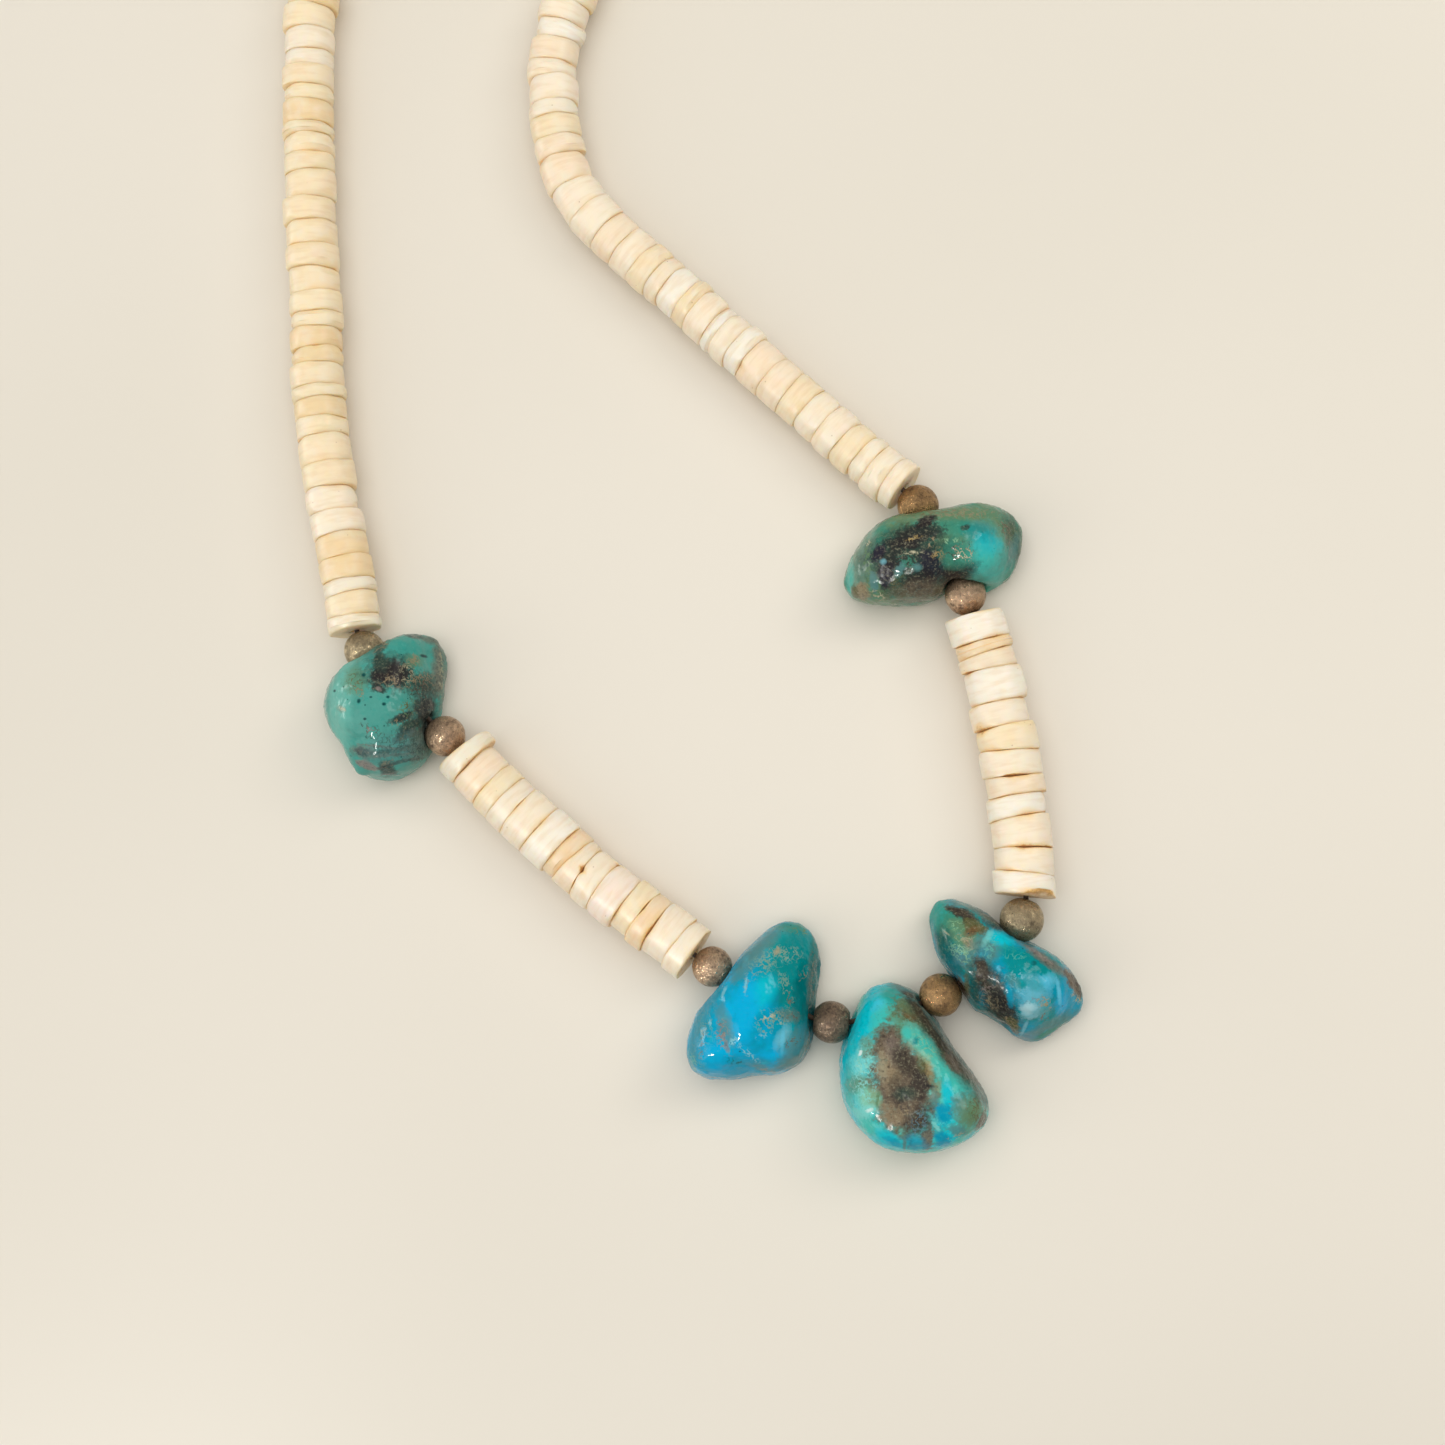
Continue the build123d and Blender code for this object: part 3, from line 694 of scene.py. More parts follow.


# %% [markdown]
# The charts of the nuggets
#
# Each row of a chart is one mark. Its place (px, py), half length and half width are in the
# photograph's pixels. Its turn is in degrees against the clock from the picture's right, and its
# strength runs from 0 to 1. Rows further down lie over those above, so a chart goes from broad fields
# to patches of rock and then to veins, webs and single dots.

# %% Chart the center nugget
CENTER_BODY = Body("light teal", "cyan", "aqua", "light teal")
CENTER_LUMPS = (Lump(868, 1108, 14, 0.35), Lump(862, 1050, 12, 0.25), Lump(905, 1085, 22, -0.25),
                Lump(945, 1068, 14, 0.25), Lump(972, 1108, 18, 0.30), Lump(935, 1092, 9, -0.25))
# The white patch at (861, 1053) and the white cloud at (870, 1110) are painted highlights, and the aqua
# cloud at (866, 1112) is a painted sheen round the lower one.
CENTER_MARKS = read_marks("""
px py long wide turn strength look tone
838 1056 52 8 85 1 field cyan
846 1108 30 7 115 0.8 field cyan
868 1022 34 13 62 0.9 field cyan
846 1044 20 7 80 0.7 cloud cyan
856 1088 26 13 95 0.5 field aqua
850 1085 18 6 92 0.6 cloud green teal
893 996 13 10 130 0.9 field green teal
880 1006 8 6 30 0.4 cloud sky
882 1018 18 9 60 0.8 cloud light teal
866 1058 16 11 75 0.7 cloud aqua
902 1026 20 11 110 0.8 cloud moss
868 1046 11 8 80 0.6 cloud moss
866 1065 12 9 90 0.8 web pale green
860 1083 14 8 20 0.7 cloud moss
859 1084 12 6 20 0.6 web tan rock
905 1087 56 32 101 0.9 cloud moss
889 1042 19 13 80 1 rock brown rock
902 1088 50 31 100 1 rock brown rock
927 1140 14 6 85 1 patch grey rock
890 1070 20 9 100 0.8 cloud tan rock
893 1050 14 7 100 0.4 cloud rose grey
905 1062 17 9 130 0.9 cloud dark rock
897 1090 18 7 105 0.5 patch charcoal
920 1084 15 9 100 0.7 patch charcoal
906 1094 10 7 10 0.9 cloud slate green
890 1114 15 10 140 0.6 patch tan rock
908 1112 10 6 160 0.7 web tan rock
920 1120 17 10 60 0.7 cloud charcoal
921 1122 14 9 60 0.5 web grey blue
924 1064 8 6 100 0.9 cloud olive
930 1068 13 3.5 98 0.6 cloud gold
936 1091 9 4 70 0.5 cloud gold
882 1068 13 5 95 0.5 cloud pale rock
930 1086 5 1.6 172 0.8 dot charcoal
935 1099 10 4 95 0.7 cloud grey teal
913 1015 24 12 140 0.9 patch olive
911 1013 12 6 150 0.8 patch rust
906 1007 11 5 150 0.6 cloud moss
928 1046 26 11 137 0.7 cloud pale green
926 1044 25 8.5 137 0.95 cloud light teal
930 1050 24 8 137 0.6 web pale green
908 1034 7 5 120 0.9 field light teal
916 1041 4 3 60 0.8 dot teal
942 1068 14 7 110 0.8 cloud light teal
871 1099 11 11 0 0.6 field pale green
878 1100 11 1.8 80 0.9 vein moss
866 1112 12 6 20 0.8 cloud aqua
864 1080 34 12 88 0.7 web aqua
948 1096 15 5 98 0.9 field cyan
944 1114 11 8 85 1 patch deep blue
936 1126 7 2 130 0.7 vein aqua
943 1140 9 7 130 1 patch deep blue
891 1140 16 7 152 0.9 field cyan
893 1142 9 4 152 0.8 cloud deep blue
916 1144 12 8 150 0.8 field deep blue
905 1144 8 1.8 85 0.9 vein grey teal
962 1108 17 11 95 0.8 patch grey teal
973 1112 19 15 80 1 cloud moss
976 1108 12 9 100 0.8 web olive
982 1121 10 7 60 0.9 patch brown rock
957 1130 10 6 150 0.8 patch grey teal
958 1136 9 3 20 0.7 web pale rock
968 1083 15 7 145 0.7 field light teal
944 1042 66 10 126 1 field dark olive
934 1028 50 6 126 0.8 rock dark rock
953 1064 13 5 130 0.9 patch brown rock
905 990 16 4 145 1 vein dark rock
903 982 14 3.5 165 0.9 cloud grey teal
944 1026 50 3.5 126 0.6 cloud grey teal
992 1092 30 4 112 0.7 cloud grey rock
943 1036 40 1 124 0.7 vein grey rock
978 1074 18 2.5 140 0.8 cloud grey rock
861 1053 3.4 1.5 65 0.8 patch white
870 1110 4 2 20 0.7 cloud white""")
print("marks on the center nugget:", len(CENTER_MARKS))

# %% Chart the nugget left of it
LEFT_1_BODY = Body("azure", "deep blue", "cyan", "cyan")
LEFT_1_LUMPS = (Lump(745, 1030, 15, 0.45), Lump(712, 1058, 14, 0.30), Lump(762, 995, 16, 0.30),
                Lump(726, 1030, 9, -0.35), Lump(770, 1045, 12, -0.20), Lump(790, 1045, 13, 0.25),
                Lump(803, 945, 14, 0.20), Lump(785, 1010, 14, -0.25), Lump(819, 968, 7, -0.35))
# The milky blue cloud at (783, 1036) and the sky line at (783, 1040) are a painted soft highlight on the
# polish.
LEFT_1_MARKS = read_marks("""
px py long wide turn strength look tone
822 985 66 9 89 1 field dark teal
812 1062 24 8 55 0.8 field dark teal
692 1050 44 7 78 0.9 field deep blue
745 1078 40 6 178 0.8 field deep blue
790 950 34 24 60 0.8 field green teal
797 985 58 22 88 1 field teal
803 1000 34 9 88 0.8 cloud dark teal
780 963 22 14 60 0.6 cloud teal
798 942 14 11 70 0.9 field teal
764 990 17 11 60 0.8 field cyan
744 1016 36 12 80 0.9 field azure
728 1066 34 10 172 0.7 field deep blue
757 951 36 9 50 0.9 cloud grey teal
797 926 22 5 3 0.8 cloud sea green
699 1036 40 7 78 0.5 cloud grey teal
713 1008 18 8 60 0.7 cloud deep blue
694 1064 14 4 118 0.8 web pale jade
703 1040 34 9 80 0.5 web pale moss
712 1058 22 11 120 0.7 cloud azure
703 1046 14 3 85 0.6 web grey rock
725 1026 21 7 104 0.8 cloud grey teal
722 1034 14 6 95 0.9 web rose grey
727 1047 8 3 108 0.6 patch rose grey
733 1042 7 3 40 1 web milky blue
748 1053 17 3 133 1 web milky blue
738 1063 10 4 160 0.9 web dark teal
747 981 12 3.2 86 1 web grey blue
746 985 9 1.6 86 0.8 vein milky blue
724 992 7 1.6 70 0.7 vein milky blue
775 1018 17 8 10 1 web pale moss
768 1017 8 2.4 14 0.9 web cream
766 1026 9 6 60 1 web pale moss
762 1036 6 3 20 0.8 web milky blue
765 963 17 9 45 0.9 web pale moss
784 954 13 6 150 1 web pale moss
778 951 4 3 80 0.9 vein pale rock
796 952 8 4 150 0.8 web pale moss
787 989 20 5 106 0.9 web pale moss
790 1000 8 3 100 1 web grey rock
800 931 12 4 172 0.8 web moss
805 973 8 3 60 1 web tan rock
790 1016 10 6 160 0.5 cloud grey rock
794 1016 6 4 20 1 web brown rock
796 1050 22 14 70 0.8 cloud grey teal
783 1036 13 5 55 0.5 cloud milky blue
793 1042 9 5 20 0.8 web brown rock
790 1063 18 5 25 0.8 cloud grey teal
808 1046 9 3 75 0.8 web tan rock
783 1040 13 2 85 0.5 cloud sky
813 985 42 4 89 0.5 cloud slate green
813 978 30 3 89 0.8 web grey rock
765 1069 15 4 162 0.6 cloud grey teal
766 1070 12 3 160 0.6 web tan rock""")
print("marks on the nugget left of the center:", len(LEFT_1_MARKS))

# %% Chart the nugget right of the center
RIGHT_1_BODY = Body("teal", "deep blue", "teal", "cyan")
RIGHT_1_LUMPS = (Lump(1000, 940, 12, 0.35), Lump(1030, 1010, 13, 0.35), Lump(1015, 975, 10, -0.25),
                 Lump(1060, 995, 12, 0.30), Lump(1045, 1003, 7, -0.25), Lump(985, 990, 12, -0.30),
                 Lump(950, 922, 14, 0.20), Lump(972, 950, 12, -0.30), Lump(1046, 980, 9, 0.25),
                 Lump(1003, 1031, 8, -0.50))
# The milky blue patch at (1029, 1011) with the white cloud on it is a painted broad highlight, and the
# thin sky line at (1059, 993) is a painted highlight streak. The dark teal strip at (974, 988) is partly
# the stone's own tone and partly painted shade on the lower left edge, which turns from the light.
RIGHT_1_MARKS = read_marks("""
px py long wide turn strength look tone
952 926 30 20 150 1 field sea green
948 950 28 10 118 0.7 cloud slate green
960 925 11 6 170 0.9 cloud moss
959 926 9 5 170 0.7 web pale green
928 912 28 13 70 0.9 field green teal
932 926 7 4 100 1 cloud teal
968 942 16 10 140 0.9 cloud moss
970 945 12 8 140 0.9 web pale rock
970 944 7 4 160 0.6 cloud tan rock
956 948 8 7 40 0.8 web pale green
952 957 20 7 105 0.6 cloud dark teal
967 957 13 8 130 0.8 cloud grey teal
966 956 11 7 130 0.7 web pale green
963 905 14 4 166 1 cloud grey teal
964 914 19 5 157 1 patch dark rock
976 927 14 7 150 1 patch olive
973 931 8 4 30 0.9 cloud rust
992 920 22 4 150 0.9 cloud grey rock
997 928 14 3 155 0.8 cloud dark rock
947 933 4 0.8 142 0.6 dot pale rock
986 950 18 13 60 0.9 field grey teal
983 957 9 7 60 0.5 cloud deep blue
1001 939 12 7 165 1 cloud cyan
988 938 9 3 60 0.5 cloud aqua
991 948 14 5 70 0.6 web pale jade
1032 962 28 9 160 1 field teal
1046 961 14 4 155 0.8 cloud dark teal
999 973 12 9 110 0.9 field deep blue
999 969 3 2 100 0.8 dot sky
1015 956 10 3 176 0.7 web pale jade
1034 963 2.5 2 0 0.7 dot ink
974 988 23 5 93 1 field dark teal
962 986 19 6 96 1 cloud rust
967 986 16 3 92 0.9 cloud olive
996 1000 44 19 116 0.8 cloud slate green
998 1001 40 12 116 0.9 rock dark rock
983 974 16 6 100 1 rock dark rock
1003 1004 17 8 120 0.9 cloud charcoal
990 985 12 6 60 0.7 web rose grey
990 1002 12 6 160 0.7 web tan rock
1013 1025 11 6 130 0.9 patch olive
1012 1022 8 4 140 0.9 web tan rock
1034 997 22 15 110 0.55 cloud milky blue
1018 983 13 9 130 0.7 web milky blue
1022 984 5 3.5 130 0.9 cloud teal
1008 950 18 7 160 0.6 web green teal
1029 1011 9 11 100 0.8 patch milky blue
1028 1008 6 7 100 0.3 cloud white
1023 984 8 5 30 0.5 cloud teal
1010 995 12 3 100 0.9 cloud deep blue
1013 980 9 5 130 0.6 cloud grey teal
1034 1000 9 3 20 1 web grey blue
1048 981 9 7 30 0.8 cloud sky
1036 985 6 8 90 0.5 cloud teal
1045 1003 8 6 120 1 web pale rock
1046 1003 4 2.5 120 0.8 web gold
1044 1017 5 4 0 1 web grey rock
1068 996 17 11 110 0.9 field deep blue
1062 1004 10 6 80 0.8 cloud azure
1059 993 13 2.2 98 0.9 cloud sky
1076 1009 11 6 45 0.8 cloud deep blue
1046 960 30 4.5 144 0.9 cloud grey rock
1040 955 18 2 146 0.6 vein rose grey
1074 983 17 6 122 1 patch brown rock
1078 986 12 3 118 0.8 patch dark rock
1077 998 8 4 150 1 web pale rock
1046 1029 33 7 27 0.9 cloud grey teal
1045 1034 20 2.5 27 0.8 vein sea green
1026 1039 11 6 20 0.7 cloud grey blue
1024 1029 11 1.6 70 0.7 cloud milky blue""")
print("marks on the nugget right of the center:", len(RIGHT_1_MARKS))

# %% Chart the green-teal nugget at the upper left
LEFT_2_BODY = Body("jade", "jade", "green teal", "pale jade")
LEFT_2_LUMPS = (Lump(346, 720, 12, 0.30), Lump(345, 668, 14, 0.25), Lump(400, 650, 20, 0.20),
                Lump(362, 742, 14, -0.25), Lump(395, 745, 16, -0.30), Lump(380, 758, 14, 0.20),
                Lump(430, 660, 10, -0.20), Lump(362, 770, 8, 0.50), Lump(436, 642, 8, 0.45),
                Lump(427, 712, 7, 0.40))
LEFT_2_MARKS = read_marks("""
px py long wide turn strength look tone
340 700 52 14 88 0.8 field pale jade
405 648 30 12 170 0.4 field green teal
372 652 14 8 120 0.4 cloud ink
355 680 15 12 130 0.6 cloud moss
354 682 11 8 130 0.8 web olive
360 692 6 4 110 0.9 web tan rock
390 672 24 17 5 0.9 cloud slate green
391 673 20 14 5 1 patch charcoal
381 673 9 7 60 1 cloud charcoal
395 681 13 6 20 0.8 web tan rock
407 674 11 6 75 0.9 web pale rock
382 663 8 8 60 0.9 cloud slate green
379 688 9 4 150 0.8 patch charcoal
379 689 3 2 150 0.8 dot rose grey
381 648 12 6 75 0.8 patch slate green
382 646 11 6 75 0.9 web tan rock
378 660 8 5 75 0.8 cloud slate green
415 661 7 6 60 0.7 cloud moss
415 660 6 5 60 0.8 web tan rock
424 684 17 9 30 0.9 cloud slate green
424 683 17 8 30 1 web tan rock
420 690 12 6 60 0.9 web charcoal
423 715 26 10 75 0.7 cloud slate green
425 708 13 7 80 0.8 patch charcoal
427 730 14 6 80 0.8 cloud charcoal
401 718 14 4 28 0.9 patch charcoal
400 722 10 3 20 0.8 web tan rock
409 726 12 5 45 0.9 patch slate green
408 709 9 6 60 0.9 web moss
409 707 6 5 60 0.8 web olive
405 735 13 5 28 0.8 patch charcoal
405 738 10 3 28 0.6 web tan rock
439 668 34 5 92 0.9 cloud grey rock
441 668 30 2 92 0.6 web pale rock
432 638 11 4 165 0.8 cloud grey rock
414 636 9 4 165 0.7 patch charcoal
398 636 9 4 0 0.9 web ink
370 731 10 6 160 1 web slate green
371 731 5 4 160 0.9 web rose grey
364 752 16 6 172 0.8 cloud grey rock
363 752 12 4 172 0.7 patch indigo
367 765 12 4 160 0.9 rock rose grey
387 769 11 8 60 0.8 patch charcoal
388 762 7 5 60 0.8 web tan rock
400 749 34 3.5 12 0.9 vein slate green
385 747 26 1.4 174 0.8 vein grey rock
390 755 24 2 8 0.9 vein grey rock
404 761 22 1.6 18 0.8 vein charcoal
420 744 16 10 60 0.8 cloud grey rock
419 752 12 5 50 0.8 web charcoal
398 748 34 14 12 0.6 cloud grey teal
402 742 32 12 12 0.5 web slate green
426 706 20 6 78 0.6 cloud charcoal
342 709 6 3 155 0.9 cloud pale moss
343 709 4 2 155 0.9 web cream
364 675 2 1.8 0 1 dot ink
335 691 1.6 1.4 0 1 dot ink
359 701 1.8 2.2 0 1 dot ink
384 704 1.8 1.6 0 1 dot ink
388 697 1.6 1.4 0 1 dot ink
371 697 1.4 1 0 1 dot ink
424 656 2.2 1.6 0 1 dot ink
365 719 1.7 1.3 0 1 dot ink""")
print("marks on the nugget at the upper left:", len(LEFT_2_MARKS))

# %% Chart the dark green nugget at the upper right
RIGHT_2_BODY = Body("sea green", "moss", "green teal", "pale jade")
RIGHT_2_LUMPS = (Lump(884, 562, 8, 0.30), Lump(918, 568, 10, 0.30), Lump(980, 535, 16, 0.30),
                 Lump(905, 585, 16, -0.30), Lump(930, 540, 14, 0.15), Lump(950, 555, 10, -0.25),
                 Lump(1010, 540, 12, -0.25))
# The charcoal cloud at (955, 575) is painted shade in the notch above the silver bead, and the two small
# clouds at (884, 562) and (918, 568) are painted glints.
RIGHT_2_MARKS = read_marks("""
px py long wide turn strength look tone
987 560 36 24 75 1 field jade
986 552 20 14 60 0.8 cloud light teal
980 532 18 10 170 0.7 cloud teal
988 545 14 10 10 0.5 cloud cyan
992 592 18 9 70 0.6 field light teal
1004 516 12 8 130 0.9 cloud sea green
950 513 56 8 4 0.9 cloud moss
955 513 50 7 4 0.6 web tan rock
930 512 24 4 8 0.7 web olive
862 560 38 9 76 0.9 cloud pale moss
850 580 22 4 88 0.7 cloud light teal
948 527 17 8 10 0.8 cloud sea green
1014 538 26 9 105 0.8 cloud dark olive
1011 540 22 7 105 0.8 web grey rock
1010 532 14 6 140 1 web moss
1006 528 9 5 150 1 web brown rock
1014 550 18 5 75 0.7 cloud grey teal
905 556 45 27 8 1 field slate green
926 578 38 11 14 0.8 field slate green
917 534 26 12 16 0.9 patch charcoal
926 522 12 7 20 1 patch charcoal
900 543 20 6 172 0.8 patch charcoal
879 553 10 7 60 1 patch indigo
886 575 14 9 85 1 patch indigo
932 565 16 13 120 0.9 patch indigo
920 578 18 7 10 0.9 cloud charcoal
893 560 18 10 60 0.6 cloud charcoal
900 570 8 5 60 0.9 patch grey teal
909 562 12 8 140 0.6 web sea green
874 582 10 5 100 0.9 patch grey teal
896 586 12 6 30 0.8 web olive
868 556 22 5 92 0.9 web moss
868 543 3 3 0 1 web cream
925 590 34 9 6 0.9 cloud brown rock
890 596 28 5 3 0.9 web moss
905 594 30 6 3 0.8 web grey rock
862 592 8 10 60 0.9 patch tan rock
855 592 8 4 100 0.8 patch olive
878 595 8 3 160 0.8 web cream
955 575 22 8 18 1 cloud charcoal
957 556 15 12 170 0.8 cloud sea green
960 552 13 9 170 1 web slate green
950 541 8 3 5 0.8 web pale green
964 553 9 6 150 0.9 web cream
965 528 5 3 20 0.8 patch slate green
931 543 6 5 60 1 web tan rock
915 538 9 2 20 1 web gold
914 553 12 1.6 4 0.9 web pale rock
913 552 1.2 3 90 0.7 dot cream
938 555 7 5 60 0.9 web gold
884 562 3.4 2.6 0 0.7 cloud milky blue
918 568 4.4 3.6 0 0.9 cloud grey teal""")
print("marks on the nugget at the upper right:", len(RIGHT_2_MARKS))

# %% [markdown]
# Making the nuggets
#
# With the charts read, each nugget is shaped, gets its own material and takes the place of its solid.

# %% Make the five nuggets
Nugget = namedtuple("Nugget", "node body mottling lumps marks")

NUGGETS = (
    Nugget("turquoise_center", CENTER_BODY, 0.30, CENTER_LUMPS, CENTER_MARKS),
    Nugget("turquoise_left_1", LEFT_1_BODY, 0.12, LEFT_1_LUMPS, LEFT_1_MARKS),
    Nugget("turquoise_right_1", RIGHT_1_BODY, 0.22, RIGHT_1_LUMPS, RIGHT_1_MARKS),
    Nugget("turquoise_left_2", LEFT_2_BODY, 0.15, LEFT_2_LUMPS, LEFT_2_MARKS),
    Nugget("turquoise_right_2", RIGHT_2_BODY, 0.25, RIGHT_2_LUMPS, RIGHT_2_MARKS))

for seed, nugget in enumerate(NUGGETS):
    skin, surface = shape_nugget(nugget.node, nugget.lumps, seed)
    stone = turquoise_material(nugget.node + "_stone", nugget.body, nugget.mottling, nugget.marks,
                               surface)
    add_piece(nugget.node + "_nugget", skin, stone, [nugget.node])
    print(nugget.node, "has", len(nugget.marks), "marks and",
          piece_triangles[nugget.node + "_nugget"], "triangles")

# %% [markdown]
# Reading beads and discs from the frame
#
# Beads and discs are turned shapes, so all that is needed from the frame is each one's middle, axis,
# half length and radius. The axis hides in the face normals: on a disc most of the surface looks along
# the axis, on a drilled ball least of it does. Strands hold many loose discs, which are taken apart
# first and then put in order, from one disc to its nearest neighbour.

# %% Measure turned pieces
Turned = namedtuple("Turned", "center axis half radius")


def loose_shapes(node):
    """Corners, normals and areas of each loose shape of a node, in millimetres."""
    shape = solid_in_millimetres(node)
    shape.normal_update()
    seen = set()
    shapes = []
    for first in shape.verts:
        if first in seen:
            continue
        group = {first}
        edge_of_group = [first]
        while edge_of_group:
            for edge in edge_of_group.pop().link_edges:
                for vertex in edge.verts:
                    if vertex not in group:
                        group.add(vertex)
                        edge_of_group.append(vertex)
        seen |= group
        faces = {face for vertex in group for face in vertex.link_faces}
        shapes.append((np.array([v.co for v in group]), np.array([f.normal for f in faces]),
                       np.array([f.calc_area() for f in faces])))
    shape.free()
    return shapes


def measure(corners, normals, areas, flat):
    """Middle, axis, half length and radius of a disc, or of a drilled ball if it isn't flat."""
    spread = (normals * areas[:, None]).T @ normals
    _, ways = np.linalg.eigh(spread)
    axis = ways[:, 2] if flat else ways[:, 0]
    center = (corners.min(axis=0) + corners.max(axis=0)) / 2
    along = (corners - center) @ axis
    center = center + axis * (along.max() + along.min()) / 2
    along = (corners - center) @ axis
    radius = np.linalg.norm(corners - center - np.outer(along, axis), axis=1).max()
    return Turned(Vector(center), Vector(axis), float(along.max()), float(radius))


def in_order(pieces, start):
    """Pieces along the string from a start, with their axes pointing onwards."""
    left = list(pieces)
    here = start
    ordered = []
    while left:
        nearest = min(left, key=lambda piece: (piece.center - here).length)
        left.remove(nearest)
        onward = nearest.center - here
        if onward.dot(nearest.axis) <= 0:
            nearest = nearest._replace(axis=-nearest.axis)
        ordered.append(nearest)
        here = nearest.center
    return ordered


silver_beads = {name: measure(*loose_shapes(name)[0], flat=False)
                for name in sorted(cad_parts) if name.startswith("silver_bead")}
row_nodes = {}
row_discs = {}
strand_discs = {}
for side in ("left", "right"):
    row_nodes[side] = sorted(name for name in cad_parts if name.startswith("shell_disc_" + side))
    row = [measure(*loose_shapes(name)[0], flat=True) for name in row_nodes[side]]
    row_discs[side] = in_order(row, silver_beads[f"silver_bead_{side}_2"].center)
    strand = [measure(*found, flat=True) for found in loose_shapes("shell_strand_" + side)]
    strand_discs[side] = in_order(strand, silver_beads[f"silver_bead_{side}_4"].center)
print("silver beads:", len(silver_beads))
print("discs in the rows:", {side: len(row_discs[side]) for side in row_discs})
print("discs in the strands:", {side: len(strand_discs[side]) for side in strand_discs})

# %% [markdown]
# Turning a profile
#
# A lathe turns a profile into a round shape: every point of the profile becomes a ring, and
# neighbouring rings are joined by squares. The bead's profile is a loop that also runs back through
# its bore, so the bead is closed and truly drilled. Little dents in the rings make it look hand made.

# %% Turn a closed profile
mouth_wide = 0.04
mouth_deep = 0.08
flat_end = 0.05


def ring_faces(rings, around, base=0):
    """Squares between neighbouring rings of corners, with the last ring joined to the first."""
    faces = []
    for ring in range(rings):
        after = (ring + 1) % rings
        for k in range(around):
            beside = (k + 1) % around
            faces.append((base + ring * around + k, base + ring * around + beside,
                          base + after * around + beside, base + after * around + k))
    return faces


def turned_mesh(name, profile, around):
    """Closed mesh of a looped profile of radius and height, turned about the upright axis."""
    profile = np.array(profile)
    angles = np.arange(around) * 2 * math.pi / around
    across = profile[:, 0]
    x = np.outer(across, np.cos(angles))
    y = np.outer(across, np.sin(angles))
    z = np.repeat(profile[:, 1:2], around, axis=1)
    places = np.stack((x, y, z), axis=-1).reshape(-1, 3)
    mesh = bpy.data.meshes.new(name)
    mesh.from_pydata(places.tolist(), [], ring_faces(len(profile), around))
    return mesh


def stand_at(mesh, piece):
    """Lay an upright mesh along a measured piece."""
    turn = piece.axis.to_track_quat("Z", "Y").to_matrix().to_4x4()
    mesh.transform(Matrix.Translation(piece.center) @ turn)


def arc_profile(radius, half, bore, steps):
    """Looped profile of a drilled ball, cut short at both ends where half is less than its radius."""
    top = min(half, math.sqrt(radius ** 2 - bore ** 2))
    lean = math.asin(top / radius)
    outside = []
    for step in range(steps + 1):
        up = lean * (2 * step / steps - 1)
        outside.append((radius * math.cos(up), radius * math.sin(up)))
    mouth = [(bore + mouth_wide, top)] if outside[-1][0] > bore + flat_end else []
    inside = [(bore, top - mouth_deep), (bore, 0.0), (bore, mouth_deep - top)]
    return outside + mouth + inside + [(r, -z) for r, z in mouth]


# %% [markdown]
# Tarnished silver
#
# The small round beads are silver that has gone brown. Handling keeps the high spots bright while dark
# oxide stays in the dents, and fine scratches show the metal again. The oxide is a cloudy mask, and
# the metal is rougher and less metallic where it is dark. No two beads are tarnished alike, so there
# are four finishes, from a pale grey to a deep brown.

# %% Tarnish the silver
silver_crust = paint(46, 33, 25)
broad_oxide = 0.35
mottled_oxide = 0.6
crust_share = 0.6
scratch_share = 0.55
bright_roughness = 0.20
dark_roughness = 0.55
bright_metal = 0.95
dark_metal = 0.45


def silver_material(name, bright, dark):
    """Scratched and tarnished silver."""
    material, tree, shader = start_material(name)
    place = in_millimetres(tree)
    grit = use_group(tree, grit_group, Place=place, Grain=2.4, Speck_Share=0.12, Speck_Size=0.34)
    broad = ramp(tree, cloudy(tree, place, scale=0.6, detail=3.0), 0.36, 0.66)
    mottle = ramp(tree, cloudy(tree, place, scale=1.8, detail=5.0, roughness=0.75), 0.36, 0.66)
    oxide = calculate(tree, "ADD", times(tree, broad, broad_oxide), times(tree, mottle, mottled_oxide),
                      limited=True)
    colour = lay_over(tree, oxide, bright, dark)
    colour = tint(tree, colour, grit["Specks"], crust_share, silver_crust)
    scratched = add_node(tree, "Mapping", {"Vector": place, "Scale": (11.0, 1.3, 1.3),
                                           "Rotation": (0.4, 0.9, 0.6)}).outputs[0]
    scratches = ramp(tree, cloudy(tree, scratched, scale=1.0, detail=5.0, roughness=0.7), 0.54, 0.66)
    colour = tint(tree, colour, scratches, scratch_share, bright)
    tree.links.new(colour, shader.inputs["Base Color"])
    tree.links.new(between(tree, oxide, bright_roughness, dark_roughness), shader.inputs["Roughness"])
    tree.links.new(between(tree, oxide, bright_metal, dark_metal), shader.inputs["Metallic"])
    relief = minus(tree, times(tree, scratches, 0.4), mottle)
    relief = minus(tree, relief, grit["Specks"])
    add_bump(tree, shader, relief, 0.05, 0.9)
    return material


warm_silver = silver_material("tarnished_silver_warm", paint(222, 190, 158), paint(62, 46, 36))
dark_silver = silver_material("tarnished_silver_dark", paint(166, 142, 120), paint(54, 43, 36))
brown_silver = silver_material("tarnished_silver_brown", paint(204, 164, 114), paint(70, 48, 30))
grey_silver = silver_material("tarnished_silver_grey", paint(200, 182, 148), paint(86, 75, 57))
SILVER_FINISH = {"silver_bead_left_1": dark_silver, "silver_bead_left_4": grey_silver,
                 "silver_bead_right_1": brown_silver, "silver_bead_right_2": grey_silver,
                 "silver_bead_right_4": brown_silver}
print("silver finishes:", [m.name for m in (warm_silver, dark_silver, brown_silver, grey_silver)])

